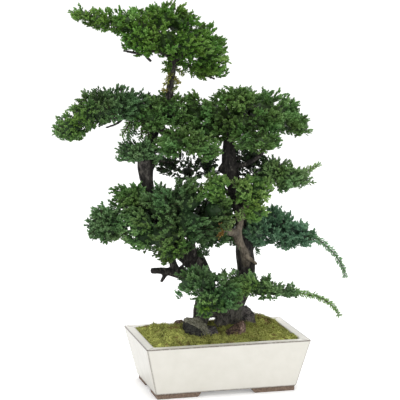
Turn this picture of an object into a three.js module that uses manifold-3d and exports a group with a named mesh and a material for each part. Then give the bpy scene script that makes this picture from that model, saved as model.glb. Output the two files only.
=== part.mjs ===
// A two-trunked Japanese garden juniper bonsai in its rectangular glazed pot.
// Millimetres, +Z up, +X to the right along the pot's long side, -Y is the front.
// Everything is laid out from the middle of the pot, with z = 0 under its feet. At the
// end the whole group is moved so that its origin is under the middle of the tree.

import * as THREE from "three";
import { mergeVertices } from "three/addons/utils/BufferGeometryUtils.js";
import Module from "manifold-3d";

const wasm = await Module();
wasm.setup();

// Pot: a 16 x 10 x 5 inch tray whose walls lean out, with a flat lip turned inwards
const POT_LENGTH = 406;
const POT_WIDTH = 254;
const POT_HEIGHT = 130;
const END_LEAN = 28;
const SIDE_LEAN = 26;
const CORNER_RADIUS = 6;
const CORNER_STEPS = 2;
const LIP_WIDTH = 23;
const LIP_DEPTH = 12;
const WALL = 10;
const FLOOR = 12;
const FOOT_HEIGHT = 12;
const FOOT_LENGTH = 110;
const FOOT_SIDE_LENGTH = 75;
const FOOT_BREADTH = 26;
const FOOT_SLANT = 10;
const FOOT_INSET = 4;
const DRAIN_RADIUS = 12;
const DRAIN_SIDES = 14;
const DRAIN_OFFSET = 90;
const INSIDE_BOTTOM = FOOT_HEIGHT + FLOOR;
const LIP_UNDERSIDE = POT_HEIGHT - LIP_DEPTH;

// Drain screens: square plastic mesh laid over the two drain holes
const SCREEN_SIDE = 44;
const SCREEN_THICKNESS = 2;
const SCREEN_HOLES = 3;
const SCREEN_BAR = 3.2;

// Gaps kept between pieces that touch: a close one, and a loose one where moss and leaves
// lie round wood and stones
const GAP = 0.3;
const LOOSE_GAP = 1.2;

// Edges shorter than these are closed up: on plain pieces, and on rough grown ones
const SHORTEST_EDGE = 0.03;
const SHORTEST_ROUGH_EDGE = 0.6;

// Soil and moss. The moss swells over the first stretch from the lip of the pot.
const SOIL_TOP = 120;
const MOSS_EDGE = 127;
const MOSS_COLUMNS = 14;
const MOSS_ROWS = 9;
const MOSS_SWELL_ENDS = 36;
const MOSS_SWELL_SIDES = 30;
const MOSS_RISE = 5;
const MOSS_RIPPLE = 2.5;

// Root plug: the plain foot of the tree that stands in a hole in the soil
const PLUG_X = 26;
const PLUG_LENGTH = 112;
const PLUG_WIDTH = 84;
const PLUG_BOTTOM = 60;
const PLUG_TOP = 124;
const PLUG_TAPER = 0.84;
const PLUG_SIDES = 14;

// Wood: how many sides its limbs have, and how far they swell and sink along their way
const TRUNK_SIDES = 7;
const BRANCH_SIDES = 5;
const BROAD_KNOB = 0.1;
const BROAD_KNOB_TWIST = 1.7;
const NARROW_KNOB = 0.06;
const NARROW_KNOB_TWIST = 2.3;

// Stones: the nearest and farthest that a corner lies from the middle, against a plain ball,
// and how tall that ball is and how high its middle stands, as shares of the stone's height
const STONE_NEAREST = 0.84;
const STONE_FARTHEST = 1.14;
const STONE_BALL_HEIGHT = 1.5;
const STONE_MIDDLE = 0.25;

// Foliage: the lumps' dense inner core, and the shoots that stand out of it
const CORE_REACH = 0.84;
const CORE_RISE = 0.72;
const SHOOT_RADIUS = 9;
const SHOOT_SHORTEST = 19;
const SHOOT_ROOT = 0.3;
const SHOOT_SPACING = 50;
const SHOOT_RISE = 0.2;
const SHOOT_SPREAD = 0.45;
const SHOOT_TURN = 0.5;
const SHOOT_LEAST_REACH = 0.95;
const SHOOT_REACH_SPREAD = 0.2;
const SHOOT_ROOM = 9.5;
const GOLDEN_ANGLE = Math.PI * (3 - Math.sqrt(5));
const TAIL_SHOOT_RADIUS = 4.5;
const TAIL_SHOOT_LENGTH = 18;
const TAIL_SHOOT_SPACING = 16;
const TAIL_SHOOT_SPLAY = 1.1;
const TAIL_REACH_SPREAD = 0.3;
const PAD_GAP = 1.5;
const BURIED_DEPTH = 0.86;
const SEED = 4107;

const tree = new THREE.Group();

// Materials, one to a sub-part

function finish(colour, roughness, metalness = 0) {
  return new THREE.MeshStandardMaterial({ color: colour, roughness, metalness });
}

// Solids: closed meshes joined and cut

function solidOf(geometry) {
  const bare = geometry.index ? geometry.clone() : geometry;
  bare.deleteAttribute("normal");
  bare.deleteAttribute("uv");
  const merged = mergeVertices(bare);
  return new wasm.Manifold(new wasm.Mesh({
    numProp: 3,
    vertProperties: new Float32Array(merged.attributes.position.array),
    triVerts: new Uint32Array(merged.index.array),
  }));
}

// The largest body of a solid, without crumbs and with its shortest edges closed up
function wholeBody(solid, shortestEdge = SHORTEST_EDGE) {
  const bodies = solid.simplify(shortestEdge).decompose();
  bodies.sort((a, b) => b.volume() - a.volume());
  return bodies[0];
}

function addPiece(name, solid, material) {
  const mesh = solid.getMesh();
  const geometry = new THREE.BufferGeometry();
  geometry.setAttribute("position", new THREE.BufferAttribute(mesh.vertProperties, 3));
  geometry.setIndex(new THREE.BufferAttribute(mesh.triVerts, 1));
  geometry.computeVertexNormals();
  const piece = new THREE.Mesh(geometry, material);
  piece.name = name;
  tree.add(piece);
}

function union(solids) {
  return wasm.Manifold.union(solids);
}

// A repeatable random number generator
function seededRandom(seed) {
  let state = seed;
  return () => {
    state = (state * 1664525 + 1013904223) % 4294967296;
    return state / 4294967296;
  };
}

function block(length, width, height, x, y, bottom) {
  const geometry = new THREE.BoxGeometry(length, width, height);
  geometry.translate(x, y, bottom + height / 2);
  return solidOf(geometry);
}

// A box with rounded corners whose plan grows evenly from its bottom to its top
function taperedBox(bottomLength, bottomWidth, topLength, topWidth, bottom, top, radius) {
  const halfLength = topLength / 2;
  const halfWidth = topWidth / 2;
  const outline = new THREE.Shape();
  outline.moveTo(halfLength - radius, -halfWidth);
  outline.absarc(halfLength - radius, -halfWidth + radius, radius, -Math.PI / 2, 0);
  outline.absarc(halfLength - radius, halfWidth - radius, radius, 0, Math.PI / 2);
  outline.absarc(-halfLength + radius, halfWidth - radius, radius, Math.PI / 2, Math.PI);
  outline.absarc(-halfLength + radius, -halfWidth + radius, radius, Math.PI, 1.5 * Math.PI);
  const height = top - bottom;
  const geometry = new THREE.ExtrudeGeometry(outline, {
    depth: height, steps: 1, curveSegments: CORNER_STEPS, bevelEnabled: false,
  });
  const corners = geometry.attributes.position;
  for (let i = 0; i < corners.count; i += 1) {
    const grown = corners.getZ(i) / height;
    corners.setX(i, corners.getX(i) * THREE.MathUtils.lerp(bottomLength / topLength, 1, grown));
    corners.setY(i, corners.getY(i) * THREE.MathUtils.lerp(bottomWidth / topWidth, 1, grown));
  }
  geometry.translate(0, 0, bottom);
  return solidOf(geometry);
}

// The plan of the pot's outside, less an inset all round, at a height
function potPlan(height, inset) {
  const up = (height - FOOT_HEIGHT) / (POT_HEIGHT - FOOT_HEIGHT);
  return {
    length: POT_LENGTH - 2 * END_LEAN * (1 - up) - 2 * inset,
    width: POT_WIDTH - 2 * SIDE_LEAN * (1 - up) - 2 * inset,
  };
}

function potLevel(bottom, top, bottomInset, topInset, radius) {
  const low = potPlan(bottom, bottomInset);
  const high = potPlan(top, topInset);
  return taperedBox(low.length, low.width, high.length, high.width, bottom, top, radius);
}

// Pot

function foot(signX, signY) {
  const plan = potPlan(FOOT_HEIGHT, FOOT_INSET);
  const farX = plan.length / 2;
  const farY = plan.width / 2;
  const outline = new THREE.Shape([
    new THREE.Vector2(farX, farY),
    new THREE.Vector2(farX - FOOT_LENGTH, farY),
    new THREE.Vector2(farX - FOOT_LENGTH, farY - FOOT_BREADTH),
    new THREE.Vector2(farX - FOOT_BREADTH, farY - FOOT_BREADTH),
    new THREE.Vector2(farX - FOOT_BREADTH, farY - FOOT_SIDE_LENGTH),
    new THREE.Vector2(farX, farY - FOOT_SIDE_LENGTH),
  ]);
  const geometry = new THREE.ExtrudeGeometry(outline, {
    depth: FOOT_HEIGHT + 1, steps: 1, bevelEnabled: false,
  });
  const corners = geometry.attributes.position;
  for (let i = 0; i < corners.count; i += 1) {
    const atBottom = corners.getZ(i) < 1;
    if (atBottom && corners.getX(i) < farX - FOOT_LENGTH + 1) {
      corners.setX(i, corners.getX(i) + FOOT_SLANT);
    }
    if (atBottom && corners.getY(i) < farY - FOOT_SIDE_LENGTH + 1) {
      corners.setY(i, corners.getY(i) + FOOT_SLANT);
    }
  }
  const turned = solidOf(geometry);
  if (signX * signY > 0) {
    return signX > 0 ? turned : turned.rotate([0, 0, 180]);
  }
  return signX > 0 ? turned.mirror([0, 1, 0]) : turned.mirror([1, 0, 0]);
}

function drainHole(side) {
  const geometry = new THREE.CylinderGeometry(DRAIN_RADIUS, DRAIN_RADIUS, 4 * FLOOR, DRAIN_SIDES);
  geometry.rotateX(Math.PI / 2);
  geometry.translate(side * DRAIN_OFFSET, 0, FOOT_HEIGHT + FLOOR / 2);
  return solidOf(geometry);
}

function makePot() {
  const outside = potLevel(FOOT_HEIGHT, POT_HEIGHT, 0, 0, CORNER_RADIUS);
  const inside = potLevel(INSIDE_BOTTOM, LIP_UNDERSIDE, WALL, WALL, CORNER_RADIUS);
  const mouth = potLevel(LIP_UNDERSIDE - 1, POT_HEIGHT + 1, LIP_WIDTH, LIP_WIDTH, CORNER_RADIUS);
  const feet = [foot(1, 1), foot(1, -1), foot(-1, 1), foot(-1, -1)];
  const body = union([outside, ...feet]);
  return body.subtract(union([inside, mouth, drainHole(1), drainHole(-1)]));
}

// Drain screens

function makeScreen(side) {
  const pitch = (SCREEN_SIDE - SCREEN_BAR) / SCREEN_HOLES;
  const opening = pitch - SCREEN_BAR;
  const first = -SCREEN_SIDE / 2 + SCREEN_BAR + opening / 2;
  const bottom = INSIDE_BOTTOM + GAP;
  const holes = [];
  for (let column = 0; column < SCREEN_HOLES; column += 1) {
    for (let row = 0; row < SCREEN_HOLES; row += 1) {
      holes.push(block(opening, opening, 3 * SCREEN_THICKNESS,
        side * DRAIN_OFFSET + first + column * pitch, first + row * pitch, bottom - SCREEN_THICKNESS));
    }
  }
  return block(SCREEN_SIDE, SCREEN_SIDE, SCREEN_THICKNESS, side * DRAIN_OFFSET, 0, bottom)
    .subtract(union(holes));
}

// Wood: every root, trunk and branch is a bent, tapering limb through points of its middle
// line, each written as [x, y, z, radius]. They grew as one, so they are joined as one.

function limb(points, sides, grow) {
  const path = new THREE.CatmullRomCurve3(
    points.map(([x, y, z]) => new THREE.Vector3(x, y, z)), false, "centripetal");
  const steps = points.length - 1;
  const frames = path.computeFrenetFrames(steps);
  const geometry = new THREE.CylinderGeometry(1, 1, 1, sides, steps);
  const corners = geometry.attributes.position;
  const corner = new THREE.Vector3();
  for (let i = 0; i < corners.count; i += 1) {
    corner.fromBufferAttribute(corners, i);
    const along = 0.5 - corner.y;
    const station = Math.round(along * steps);
    const place = path.getUtoTmapping(along) * (points.length - 1);
    const before = Math.min(Math.floor(place), points.length - 2);
    const radius = THREE.MathUtils.lerp(points[before][3], points[before + 1][3], place - before);
    const around = Math.atan2(corner.z, corner.x);
    const knobs = BROAD_KNOB * Math.sin(2 * around + BROAD_KNOB_TWIST * place)
      + NARROW_KNOB * Math.sin(3 * around - NARROW_KNOB_TWIST * place);
    const reach = (radius * (1 + knobs) + grow) * Math.hypot(corner.x, corner.z);
    const middle = path.getPoint(place / (points.length - 1));
    middle.addScaledVector(frames.normals[station], reach * Math.cos(around));
    middle.addScaledVector(frames.binormals[station], reach * Math.sin(around));
    corners.setXYZ(i, middle.x, middle.y, middle.z);
  }
  return solidOf(geometry);
}

const TRUNKS = [
  // right trunk, from the broad base up into the upper right pad
  [[34, 6, 112, 36], [34, 4, 147, 31], [42, -2, 186, 30], [62, -2, 229, 23], [74, 0, 282, 20],
    [71, 0, 332, 20.5], [65, 2, 377, 19], [62, 4, 426, 18], [54, 6, 466, 17], [41, 6, 501, 18],
    [33, 6, 535, 21], [32, 8, 580, 15], [33, 8, 621, 11], [49, 10, 659, 8], [70, 12, 675, 6]],
  // left trunk, leaning out to the left and back again to the crown
  [[30, 0, 172, 26], [2, 5, 203, 23], [-12, 8, 222, 23], [-28, 10, 261, 23], [-54, 10, 309, 24],
    [-97, 8, 353, 20], [-140, 5, 414, 15], [-167, 5, 488, 12.5], [-174, 5, 530, 16], [-176, 5, 560, 20],
    [-160, 5, 605, 12], [-143, 5, 650, 9.5], [-121, 3, 699, 9], [-114, 0, 749, 8.5], [-108, 0, 787, 8.5],
    [-100, 0, 812, 7]],
];

const ROOTS = [
  [[-14, 8, 226, 14], [-36, 12, 212, 10], [-42, 14, 190, 10], [-42, 18, 166, 12.5], [-43, 22, 112, 15]],
  [[-4, -2, 196, 18], [-24, -4, 184, 12], [-27, -2, 162, 11.5], [-28, 0, 112, 13]],
  [[22, -8, 160, 20], [4, -14, 140, 13], [-6, -18, 112, 12]],
  [[42, 14, 160, 20], [46, 44, 134, 12], [50, 62, 112, 9]],
  [[58, -2, 172, 18], [72, 22, 140, 11], [80, 44, 112, 9]],
  [[26, 14, 155, 16], [6, 44, 127, 10], [-6, 60, 112, 8]],
];

const BRANCHES = [
  // crown, with the bare branch and cut stubs under it
  [[-108, 0, 787, 8], [-125, -8, 812, 7], [-150, -16, 832, 5.5]],
  [[-105, 0, 790, 7], [-82, -8, 808, 6], [-60, 0, 822, 4]],
  [[-102, -2, 792, 5], [-84, -5, 788, 4.5], [-55, -10, 772, 4], [-12, -15, 751, 3]],
  [[-125, -8, 810, 6], [-160, -20, 820, 5], [-190, -28, 815, 4], [-238, -34, 822, 2.5]],
  [[-186, -27, 816, 4], [-178, -30, 804, 3.4], [-170, -30, 796, 3]],
  // upper left pad, and the bare twig under it
  [[-150, 5, 635, 9], [-175, 5, 660, 8], [-205, 0, 675, 7], [-245, -5, 682, 6]],
  [[-222, -4, 676, 5], [-245, -10, 652, 3], [-275, -12, 641, 2.4]],
  // small left pad, and the dark sprays inside the tree
  [[-177, 2, 560, 12], [-195, -8, 575, 7], [-208, -10, 579, 5]],
  [[-170, 10, 560, 12], [-145, 18, 560, 7], [-105, 26, 550, 5]],
  // centre front pad, and the tuft left of the upper right pad
  [[-150, 0, 638, 8], [-130, -22, 626, 6], [-110, -35, 615, 5]],
  [[33, 8, 612, 8], [5, 12, 632, 6], [-30, 16, 655, 5]],
  // upper right pad
  [[49, 10, 659, 8], [90, 15, 668, 6.5], [115, 15, 672, 5]],
  [[45, 12, 640, 7], [66, 40, 642, 5], [84, 58, 643, 4]],
  // the curving branch to the pad that hangs in front of it
  [[31, 6, 540, 10], [60, -25, 545, 7], [80, -55, 565, 6], [92, -68, 583, 5], [100, -76, 596, 4]],
  // middle right pad and the open spray beside the trunk
  [[38, 6, 495, 9], [75, 0, 505, 7], [110, -8, 520, 5.5], [140, -14, 526, 4.5]],
  [[31, 8, 556, 9], [60, 18, 555, 5], [78, 24, 553, 4]],
  // middle left pads
  [[-97, 4, 352, 12], [-130, -2, 378, 8], [-185, 0, 402, 6], [-235, -6, 412, 5], [-262, -10, 415, 4]],
  [[-145, 5, 428, 10], [-175, 5, 455, 7], [-195, 3, 466, 5]],
  // big centre pads, front and back
  [[-58, 2, 314, 14], [-68, -22, 362, 8], [-76, -34, 388, 6]],
  [[-100, 12, 356, 13], [-108, 38, 384, 8], [-112, 52, 402, 6]],
  // pale branch that crosses in front of the right trunk, its cut stubs and its forks
  [[72, -8, 302, 11], [64, -22, 330, 10.5], [51, -31, 351, 10], [43, -37, 370, 10.5], [41, -40, 385, 10.5],
    [45, -42, 400, 8.5], [48, -46, 416, 6], [50, -50, 432, 4.5], [50, -54, 448, 3.8]],
  [[41, -40, 384, 9], [28, -46, 384, 8], [15, -52, 386, 6.5], [-4, -60, 390, 5.5]],
  [[62, -20, 326, 8], [68, -26, 321, 6.5], [80, -32, 312, 5], [91, -36, 303, 3.8]],
  [[49, -48, 424, 4.5], [58, -54, 440, 3.8], [62, -58, 454, 3]],
  [[46, -44, 404, 4], [38, -50, 420, 3], [28, -56, 419, 2.6], [19, -59, 414, 2.4]],
  [[40, 4, 466, 11], [20, -25, 480, 6], [2, -44, 493, 4.5]],
  // lower right pad
  [[74, 6, 300, 13], [95, 25, 340, 9], [118, 38, 364, 7], [140, 43, 378, 6]],
  // low front pad and the long low right branch
  [[18, -18, 188, 15], [-5, -50, 215, 9], [-22, -62, 240, 7], [-38, -66, 258, 5]],
  [[60, -8, 226, 13], [62, -38, 250, 8], [78, -50, 262, 6]],
  // low left branch that was cut off, with a live twig rising from it
  [[-46, 8, 258, 12], [-96, 0, 282, 11], [-130, -5, 291, 8.5], [-164, -10, 294, 8]],
  [[-100, 0, 286, 10], [-108, 0, 304, 9], [-114, -6, 330, 8]],
  [[-80, 2, 280, 8], [-85, 2, 292, 6], [-88, 2, 301, 4]],
  [[-126, -5, 286, 6], [-140, -7, 265, 3.5]],
];

function makeWood(grow) {
  const aboveSoil = [
    ...TRUNKS.map((points) => limb(points, TRUNK_SIDES, grow)),
    ...ROOTS.map((points) => limb(points, BRANCH_SIDES, grow)),
    ...BRANCHES.map((points) => limb(points, BRANCH_SIDES, grow)),
  ];
  const ground = block(POT_LENGTH, POT_WIDTH, SOIL_TOP, 0, 0, GAP - grow);
  const plug = new THREE.CylinderGeometry(0.5, PLUG_TAPER / 2, 1, PLUG_SIDES);
  plug.rotateX(Math.PI / 2);
  plug.scale(PLUG_LENGTH + 2 * grow, PLUG_WIDTH + 2 * grow, PLUG_TOP - PLUG_BOTTOM + grow);
  plug.translate(PLUG_X, 0, (PLUG_TOP + PLUG_BOTTOM - grow) / 2);
  return union(aboveSoil).subtract(ground).add(solidOf(plug));
}

// Stones standing in the moss: [x, y, length, width, height, turn in degrees]

const STONES = {
  stone_slab: [-58, -24, 76, 56, 50, -38],
  stone_dark: [80, 26, 54, 46, 66, 20],
  stone_brown: [36, -48, 54, 36, 37, 12],
  stone_small: [-88, 56, 26, 20, 20, 10],
};

function makeStone([x, y, length, width, height, turn], seed, grow) {
  const random = seededRandom(seed);
  const geometry = new THREE.IcosahedronGeometry(0.5, 1);
  geometry.deleteAttribute("normal");
  geometry.deleteAttribute("uv");
  const rough = mergeVertices(geometry);
  const corners = rough.attributes.position;
  for (let i = 0; i < corners.count; i += 1) {
    const reach = THREE.MathUtils.lerp(STONE_NEAREST, STONE_FARTHEST, random());
    corners.setXYZ(i, corners.getX(i) * reach, corners.getY(i) * reach, corners.getZ(i) * reach);
  }
  rough.scale(length + 2 * grow, width + 2 * grow, STONE_BALL_HEIGHT * height + 2 * grow);
  rough.rotateZ(THREE.MathUtils.degToRad(turn));
  rough.translate(x, y, SOIL_TOP + STONE_MIDDLE * height);
  const ground = block(POT_LENGTH, POT_WIDTH, SOIL_TOP, 0, 0, GAP - grow);
  return solidOf(rough).subtract(ground);
}

// Moss: cushions swelling from the lip of the pot up to the roots of the tree. A mound is
// [x, y, half length, half width, height].

const MOSS_MOUNDS = [
  [26, 0, 105, 72, 17],
  [125, 52, 50, 42, 17],
  [-128, -14, 58, 60, 12],
];

function mossHeight(x, y) {
  const plan = potPlan(POT_HEIGHT, LIP_WIDTH);
  const fromEnd = plan.length / 2 - Math.abs(x);
  const fromSide = plan.width / 2 - Math.abs(y);
  const swell = Math.min(1, fromEnd / MOSS_SWELL_ENDS, fromSide / MOSS_SWELL_SIDES);
  const mounds = MOSS_MOUNDS.map(([middleX, middleY, length, width, height]) =>
    height * Math.exp(-(((x - middleX) / length) ** 2) - (((y - middleY) / width) ** 2)));
  const ripples = Math.sin(x / 11 + 2 * Math.sin(y / 23)) * Math.sin(y / 9 + 1.5 * Math.sin(x / 31));
  return MOSS_EDGE + swell * (MOSS_RISE + MOSS_RIPPLE * ripples + Math.max(...mounds));
}

function makeMoss() {
  const plan = potPlan(POT_HEIGHT, LIP_WIDTH);
  const geometry = new THREE.BoxGeometry(plan.length, plan.width, 1, MOSS_COLUMNS, MOSS_ROWS, 1);
  const corners = geometry.attributes.position;
  for (let i = 0; i < corners.count; i += 1) {
    const isTop = corners.getZ(i) > 0;
    const height = mossHeight(corners.getX(i), corners.getY(i));
    corners.setZ(i, isTop ? height : SOIL_TOP + GAP);
  }
  const inset = LIP_WIDTH + GAP;
  const mouth = potLevel(LIP_UNDERSIDE, 1.5 * POT_HEIGHT, inset, inset, CORNER_RADIUS);
  return solidOf(geometry).intersect(mouth);
}

// Soil: fills the pot under the moss, with a plain hole for the root plug

function makeSoil(wood) {
  const belowLip = WALL + GAP;
  const insideLip = LIP_WIDTH + GAP;
  const lower = potLevel(INSIDE_BOTTOM + GAP, LIP_UNDERSIDE - GAP, belowLip, belowLip, CORNER_RADIUS);
  const upper = potLevel(LIP_UNDERSIDE - 2, SOIL_TOP, insideLip, insideLip, CORNER_RADIUS);
  const pockets = [-1, 1].map((side) => block(
    SCREEN_SIDE + 2 * GAP, SCREEN_SIDE + 2 * GAP, SCREEN_THICKNESS + 2 * GAP,
    side * DRAIN_OFFSET, 0, INSIDE_BOTTOM));
  return union([lower, upper]).subtract(union([wood, ...pockets]));
}

// Foliage pads. A pad is a bunch of leafy lumps, each written as
// [x, y, z, half length, half depth, half height] out to the tips of its shoots.

const PADS = {
  crown: [
    [-324, -10, 903, 36, 30, 15], [-281, 5, 889, 44, 40, 26], [-231, -15, 885, 45, 44, 32],
    [-188, -28, 855, 54, 52, 51], [-138, 5, 888, 52, 56, 41], [-94, 10, 882, 43, 52, 41],
    [-130, -22, 842, 50, 48, 42], [-75, -22, 838, 54, 56, 48], [-27, 6, 819, 47, 52, 52],
    [-27, -8, 783, 40, 46, 39], [-70, 50, 836, 50, 48, 42], [-158, 44, 855, 54, 46, 42],
  ],
  upper_left: [
    [-359, -22, 641, 36, 38, 34], [-320, -5, 670, 40, 46, 42], [-280, 13, 686, 46, 50, 44],
    [-236, -4, 692, 44, 50, 41], [-284, -34, 678, 42, 40, 34], [-197, 12, 683, 34, 42, 36],
  ],
  upper_centre: [
    [-146, 16, 690, 42, 44, 31], [-114, -6, 686, 34, 40, 32], [-162, -18, 660, 44, 44, 38],
    [-132, 34, 670, 44, 42, 36], [-92, 14, 656, 40, 38, 28],
  ],
  centre_front: [
    [-116, -42, 610, 42, 40, 30], [-124, -36, 592, 30, 34, 25], [-72, -55, 604, 42, 41, 33],
    [-38, -52, 586, 35, 34, 27],
  ],
  upper_right: [
    [-64, 8, 684, 24, 30, 34], [-54, 14, 660, 40, 40, 28], [-8, -2, 666, 50, 50, 37],
    [50, -2, 686, 50, 62, 44], [114, 18, 675, 56, 66, 43], [166, 5, 658, 44, 55, 43],
    [188, -10, 641, 35, 46, 36], [-2, 14, 630, 46, 47, 38], [45, -36, 644, 50, 46, 40],
    [114, -30, 650, 52, 50, 42], [100, 64, 648, 58, 50, 40], [36, 52, 654, 52, 48, 40],
    [-50, 16, 634, 42, 36, 18],
  ],
  upper_right_front: [[92, -82, 604, 44, 38, 25], [56, -66, 602, 34, 33, 22]],
  small_left: [[-215, -12, 574, 31, 34, 24], [-185, -15, 584, 38, 40, 28], [-204, 14, 580, 36, 34, 27]],
  inner_left: [[-108, 28, 541, 42, 36, 30], [-64, 32, 524, 42, 37, 31], [-18, 30, 536, 38, 32, 34]],
  inner_right: [[88, 28, 542, 38, 37, 46]],
  middle_right: [
    [124, -10, 521, 38, 42, 38], [166, -16, 507, 42, 47, 37], [199, -20, 511, 30, 33, 25],
    [142, 16, 527, 36, 34, 26],
  ],
  left_tip: [[-287, -18, 412, 34, 40, 45], [-256, -4, 408, 38, 45, 41]],
  upper_mid_left: [[-223, -8, 472, 35, 40, 34], [-192, 8, 466, 37, 43, 33]],
  centre: [
    [-194, -28, 414, 46, 52, 52], [-145, -38, 452, 55, 52, 52], [-140, -44, 388, 55, 53, 55],
    [-80, -24, 464, 50, 52, 50], [-80, -48, 408, 57, 54, 57], [-26, -34, 392, 46, 48, 47],
    [-184, -28, 380, 50, 44, 38], [-134, -36, 342, 34, 35, 32], [-14, -34, 440, 46, 44, 42],
  ],
  centre_back: [
    [-150, 60, 418, 55, 48, 48], [-80, 64, 420, 60, 49, 51], [-18, 56, 410, 48, 44, 46],
    [24, 48, 396, 42, 36, 38], [26, 48, 438, 44, 36, 32], [88, 42, 448, 36, 34, 34],
  ],
  front_trunk: [
    [-16, -59, 498, 36, 36, 36], [46, -60, 488, 32, 36, 32], [88, -46, 484, 32, 36, 32],
    [80, -52, 436, 27, 32, 33],
  ],
  lower_right: [
    [114, 42, 372, 44, 46, 47], [158, 43, 378, 44, 50, 48], [193, 36, 362, 40, 45, 44],
    [225, 26, 358, 33, 34, 36], [94, -12, 378, 32, 26, 37],
  ],
  low_front: [
    [-82, -69, 271, 36, 38, 29], [-43, -64, 272, 40, 40, 37], [-42, -80, 234, 37, 38, 36],
    [2, -84, 250, 43, 43, 44], [-54, -80, 206, 22, 24, 23],
  ],
  low_right: [
    [62, -56, 257, 38, 38, 31], [97, -56, 248, 40, 39, 27], [134, -56, 240, 36, 33, 18],
    [166, -56, 236, 28, 26, 14],
  ],
};

// Slim leafy tails that run out of a pad: points of the stem, with the stem's radius
const TAILS = {
  middle_right: [
    [[200, -20, 510, 8], [230, -22, 530, 6], [250, -25, 540, 3]],
  ],
  lower_right: [
    [[228, 24, 362, 9], [264, 10, 346, 7], [287, 0, 327, 6], [306, -8, 305, 5], [319, -15, 279, 4],
      [325, -18, 257, 3]],
    [[105, 38, 350, 6], [112, 35, 330, 4], [115, 32, 316, 3]],
  ],
  low_right: [
    [[160, -56, 238, 9], [203, -60, 229, 7], [239, -60, 220, 6], [265, -61, 206, 5], [284, -63, 188, 4],
      [295, -64, 171, 3]],
  ],
  upper_left: [
    [[-204, 5, 680, 7], [-214, -6, 656, 6.5], [-224, -10, 640, 6], [-236, -12, 622, 4]],
  ],
};

// Bare twigs inside a pad that join a tuft standing apart from it to the rest
const TWIGS = {
  front_trunk: [
    [[-16, -59, 498, 5], [46, -60, 488, 5]],
    [[88, -46, 484, 5], [80, -52, 436, 5]],
  ],
  centre_back: [[[26, 48, 438, 5], [88, 42, 448, 5]]],
  lower_right: [[[114, 42, 372, 5], [94, -12, 378, 5]]],
};

function insideLump(point, lump, scale, grow) {
  const [x, y, z, length, depth, height] = lump;
  return ((point.x - x) / (length * scale + grow)) ** 2
    + ((point.y - y) / (depth * scale + grow)) ** 2
    + ((point.z - z) / (height * scale + grow)) ** 2 < 1;
}

function lumpCore([x, y, z, length, depth, height], grow) {
  const geometry = new THREE.IcosahedronGeometry(1, 0);
  geometry.rotateX(z);
  geometry.rotateZ(x + y);
  geometry.scale(length * CORE_REACH + grow, depth * CORE_REACH + grow, height * CORE_RISE + grow);
  geometry.translate(x, y, z);
  return solidOf(geometry);
}

// The surface of an ellipsoid, from the powered mean of the products of its half sizes
function ellipsoidArea(length, depth, height) {
  const power = 1.6;
  const sides = (length * depth) ** power + (length * height) ** power + (depth * height) ** power;
  return 4 * Math.PI * (sides / 3) ** (1 / power);
}

// The shoots of one lump, spread evenly over it: each has a root, a heading, a reach and a radius
function lumpShoots([x, y, z, length, depth, height], random) {
  const count = Math.round(ellipsoidArea(length, depth, height) / SHOOT_SPACING ** 2);
  const middle = new THREE.Vector3(x, y, z);
  const shoots = [];
  for (let i = 0; i < count; i += 1) {
    const up = 1 - (2 * (i + 0.5)) / count;
    const turn = i * GOLDEN_ANGLE + SHOOT_TURN * random();
    const level = Math.sqrt(1 - up * up);
    const onBall = new THREE.Vector3(level * Math.cos(turn), level * Math.sin(turn), up);
    const fromMiddle = onBall.clone().multiply(new THREE.Vector3(length, depth, height));
    const heading = onBall.clone().divide(new THREE.Vector3(length, depth, height)).normalize();
    heading.x += SHOOT_SPREAD * (random() - 0.5);
    heading.y += SHOOT_SPREAD * (random() - 0.5);
    heading.z += SHOOT_RISE;
    const toTip = fromMiddle.length() * (1 - SHOOT_ROOT);
    shoots.push({
      root: middle.clone().addScaledVector(fromMiddle, SHOOT_ROOT),
      heading: heading.normalize(),
      reach: Math.max(toTip, SHOOT_SHORTEST) * (SHOOT_LEAST_REACH + SHOOT_REACH_SPREAD * random()),
      radius: SHOOT_RADIUS,
    });
  }
  return shoots;
}

// The shoots of a tail: they leave its stem on all sides, and one goes on from its end
function tailShoots(points, random) {
  const path = new THREE.CatmullRomCurve3(points.map(([x, y, z]) => new THREE.Vector3(x, y, z)));
  const count = Math.round(path.getLength() / TAIL_SHOOT_SPACING);
  const shoots = [];
  for (let i = 0; i <= count; i += 1) {
    const stem = path.getTangentAt(i / count);
    const heading = stem.clone();
    if (i < count) {
      const side = new THREE.Vector3(0, 0, 1).applyAxisAngle(stem, i * GOLDEN_ANGLE + random());
      side.addScaledVector(stem, -side.dot(stem)).normalize();
      heading.addScaledVector(side, TAIL_SHOOT_SPLAY);
    }
    shoots.push({
      root: path.getPointAt(i / count),
      heading: heading.normalize(),
      reach: TAIL_SHOOT_LENGTH * (1 + TAIL_REACH_SPREAD * random()),
      radius: TAIL_SHOOT_RADIUS,
    });
  }
  return shoots;
}

function shootSolid({ root, heading, reach, radius }) {
  const geometry = new THREE.ConeGeometry(radius, reach, 3, 1);
  geometry.translate(0, reach / 2, 0);
  geometry.applyQuaternion(new THREE.Quaternion().setFromUnitVectors(new THREE.Vector3(0, 1, 0), heading));
  geometry.translate(root.x, root.y, root.z);
  return solidOf(geometry);
}

function pointAlong(shoot, share) {
  return shoot.root.clone().addScaledVector(shoot.heading, share * shoot.reach);
}

// Whether most of a shoot lies inside one of the other lumps of its own pad
function isBuried(shoot, lump, lumps) {
  const point = pointAlong(shoot, 0.8);
  return lumps.some((other) => other !== lump && insideLump(point, other, BURIED_DEPTH, 0));
}

// Whether a shoot runs into a lump of another pad
function isBlocked(shoot, strangers) {
  return [0.4, 0.7, 1].some((share) => {
    const point = pointAlong(shoot, share);
    const room = SHOOT_RADIUS * (1 - share) + PAD_GAP;
    return strangers.some((lump) => insideLump(point, lump, CORE_REACH, room));
  });
}

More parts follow.
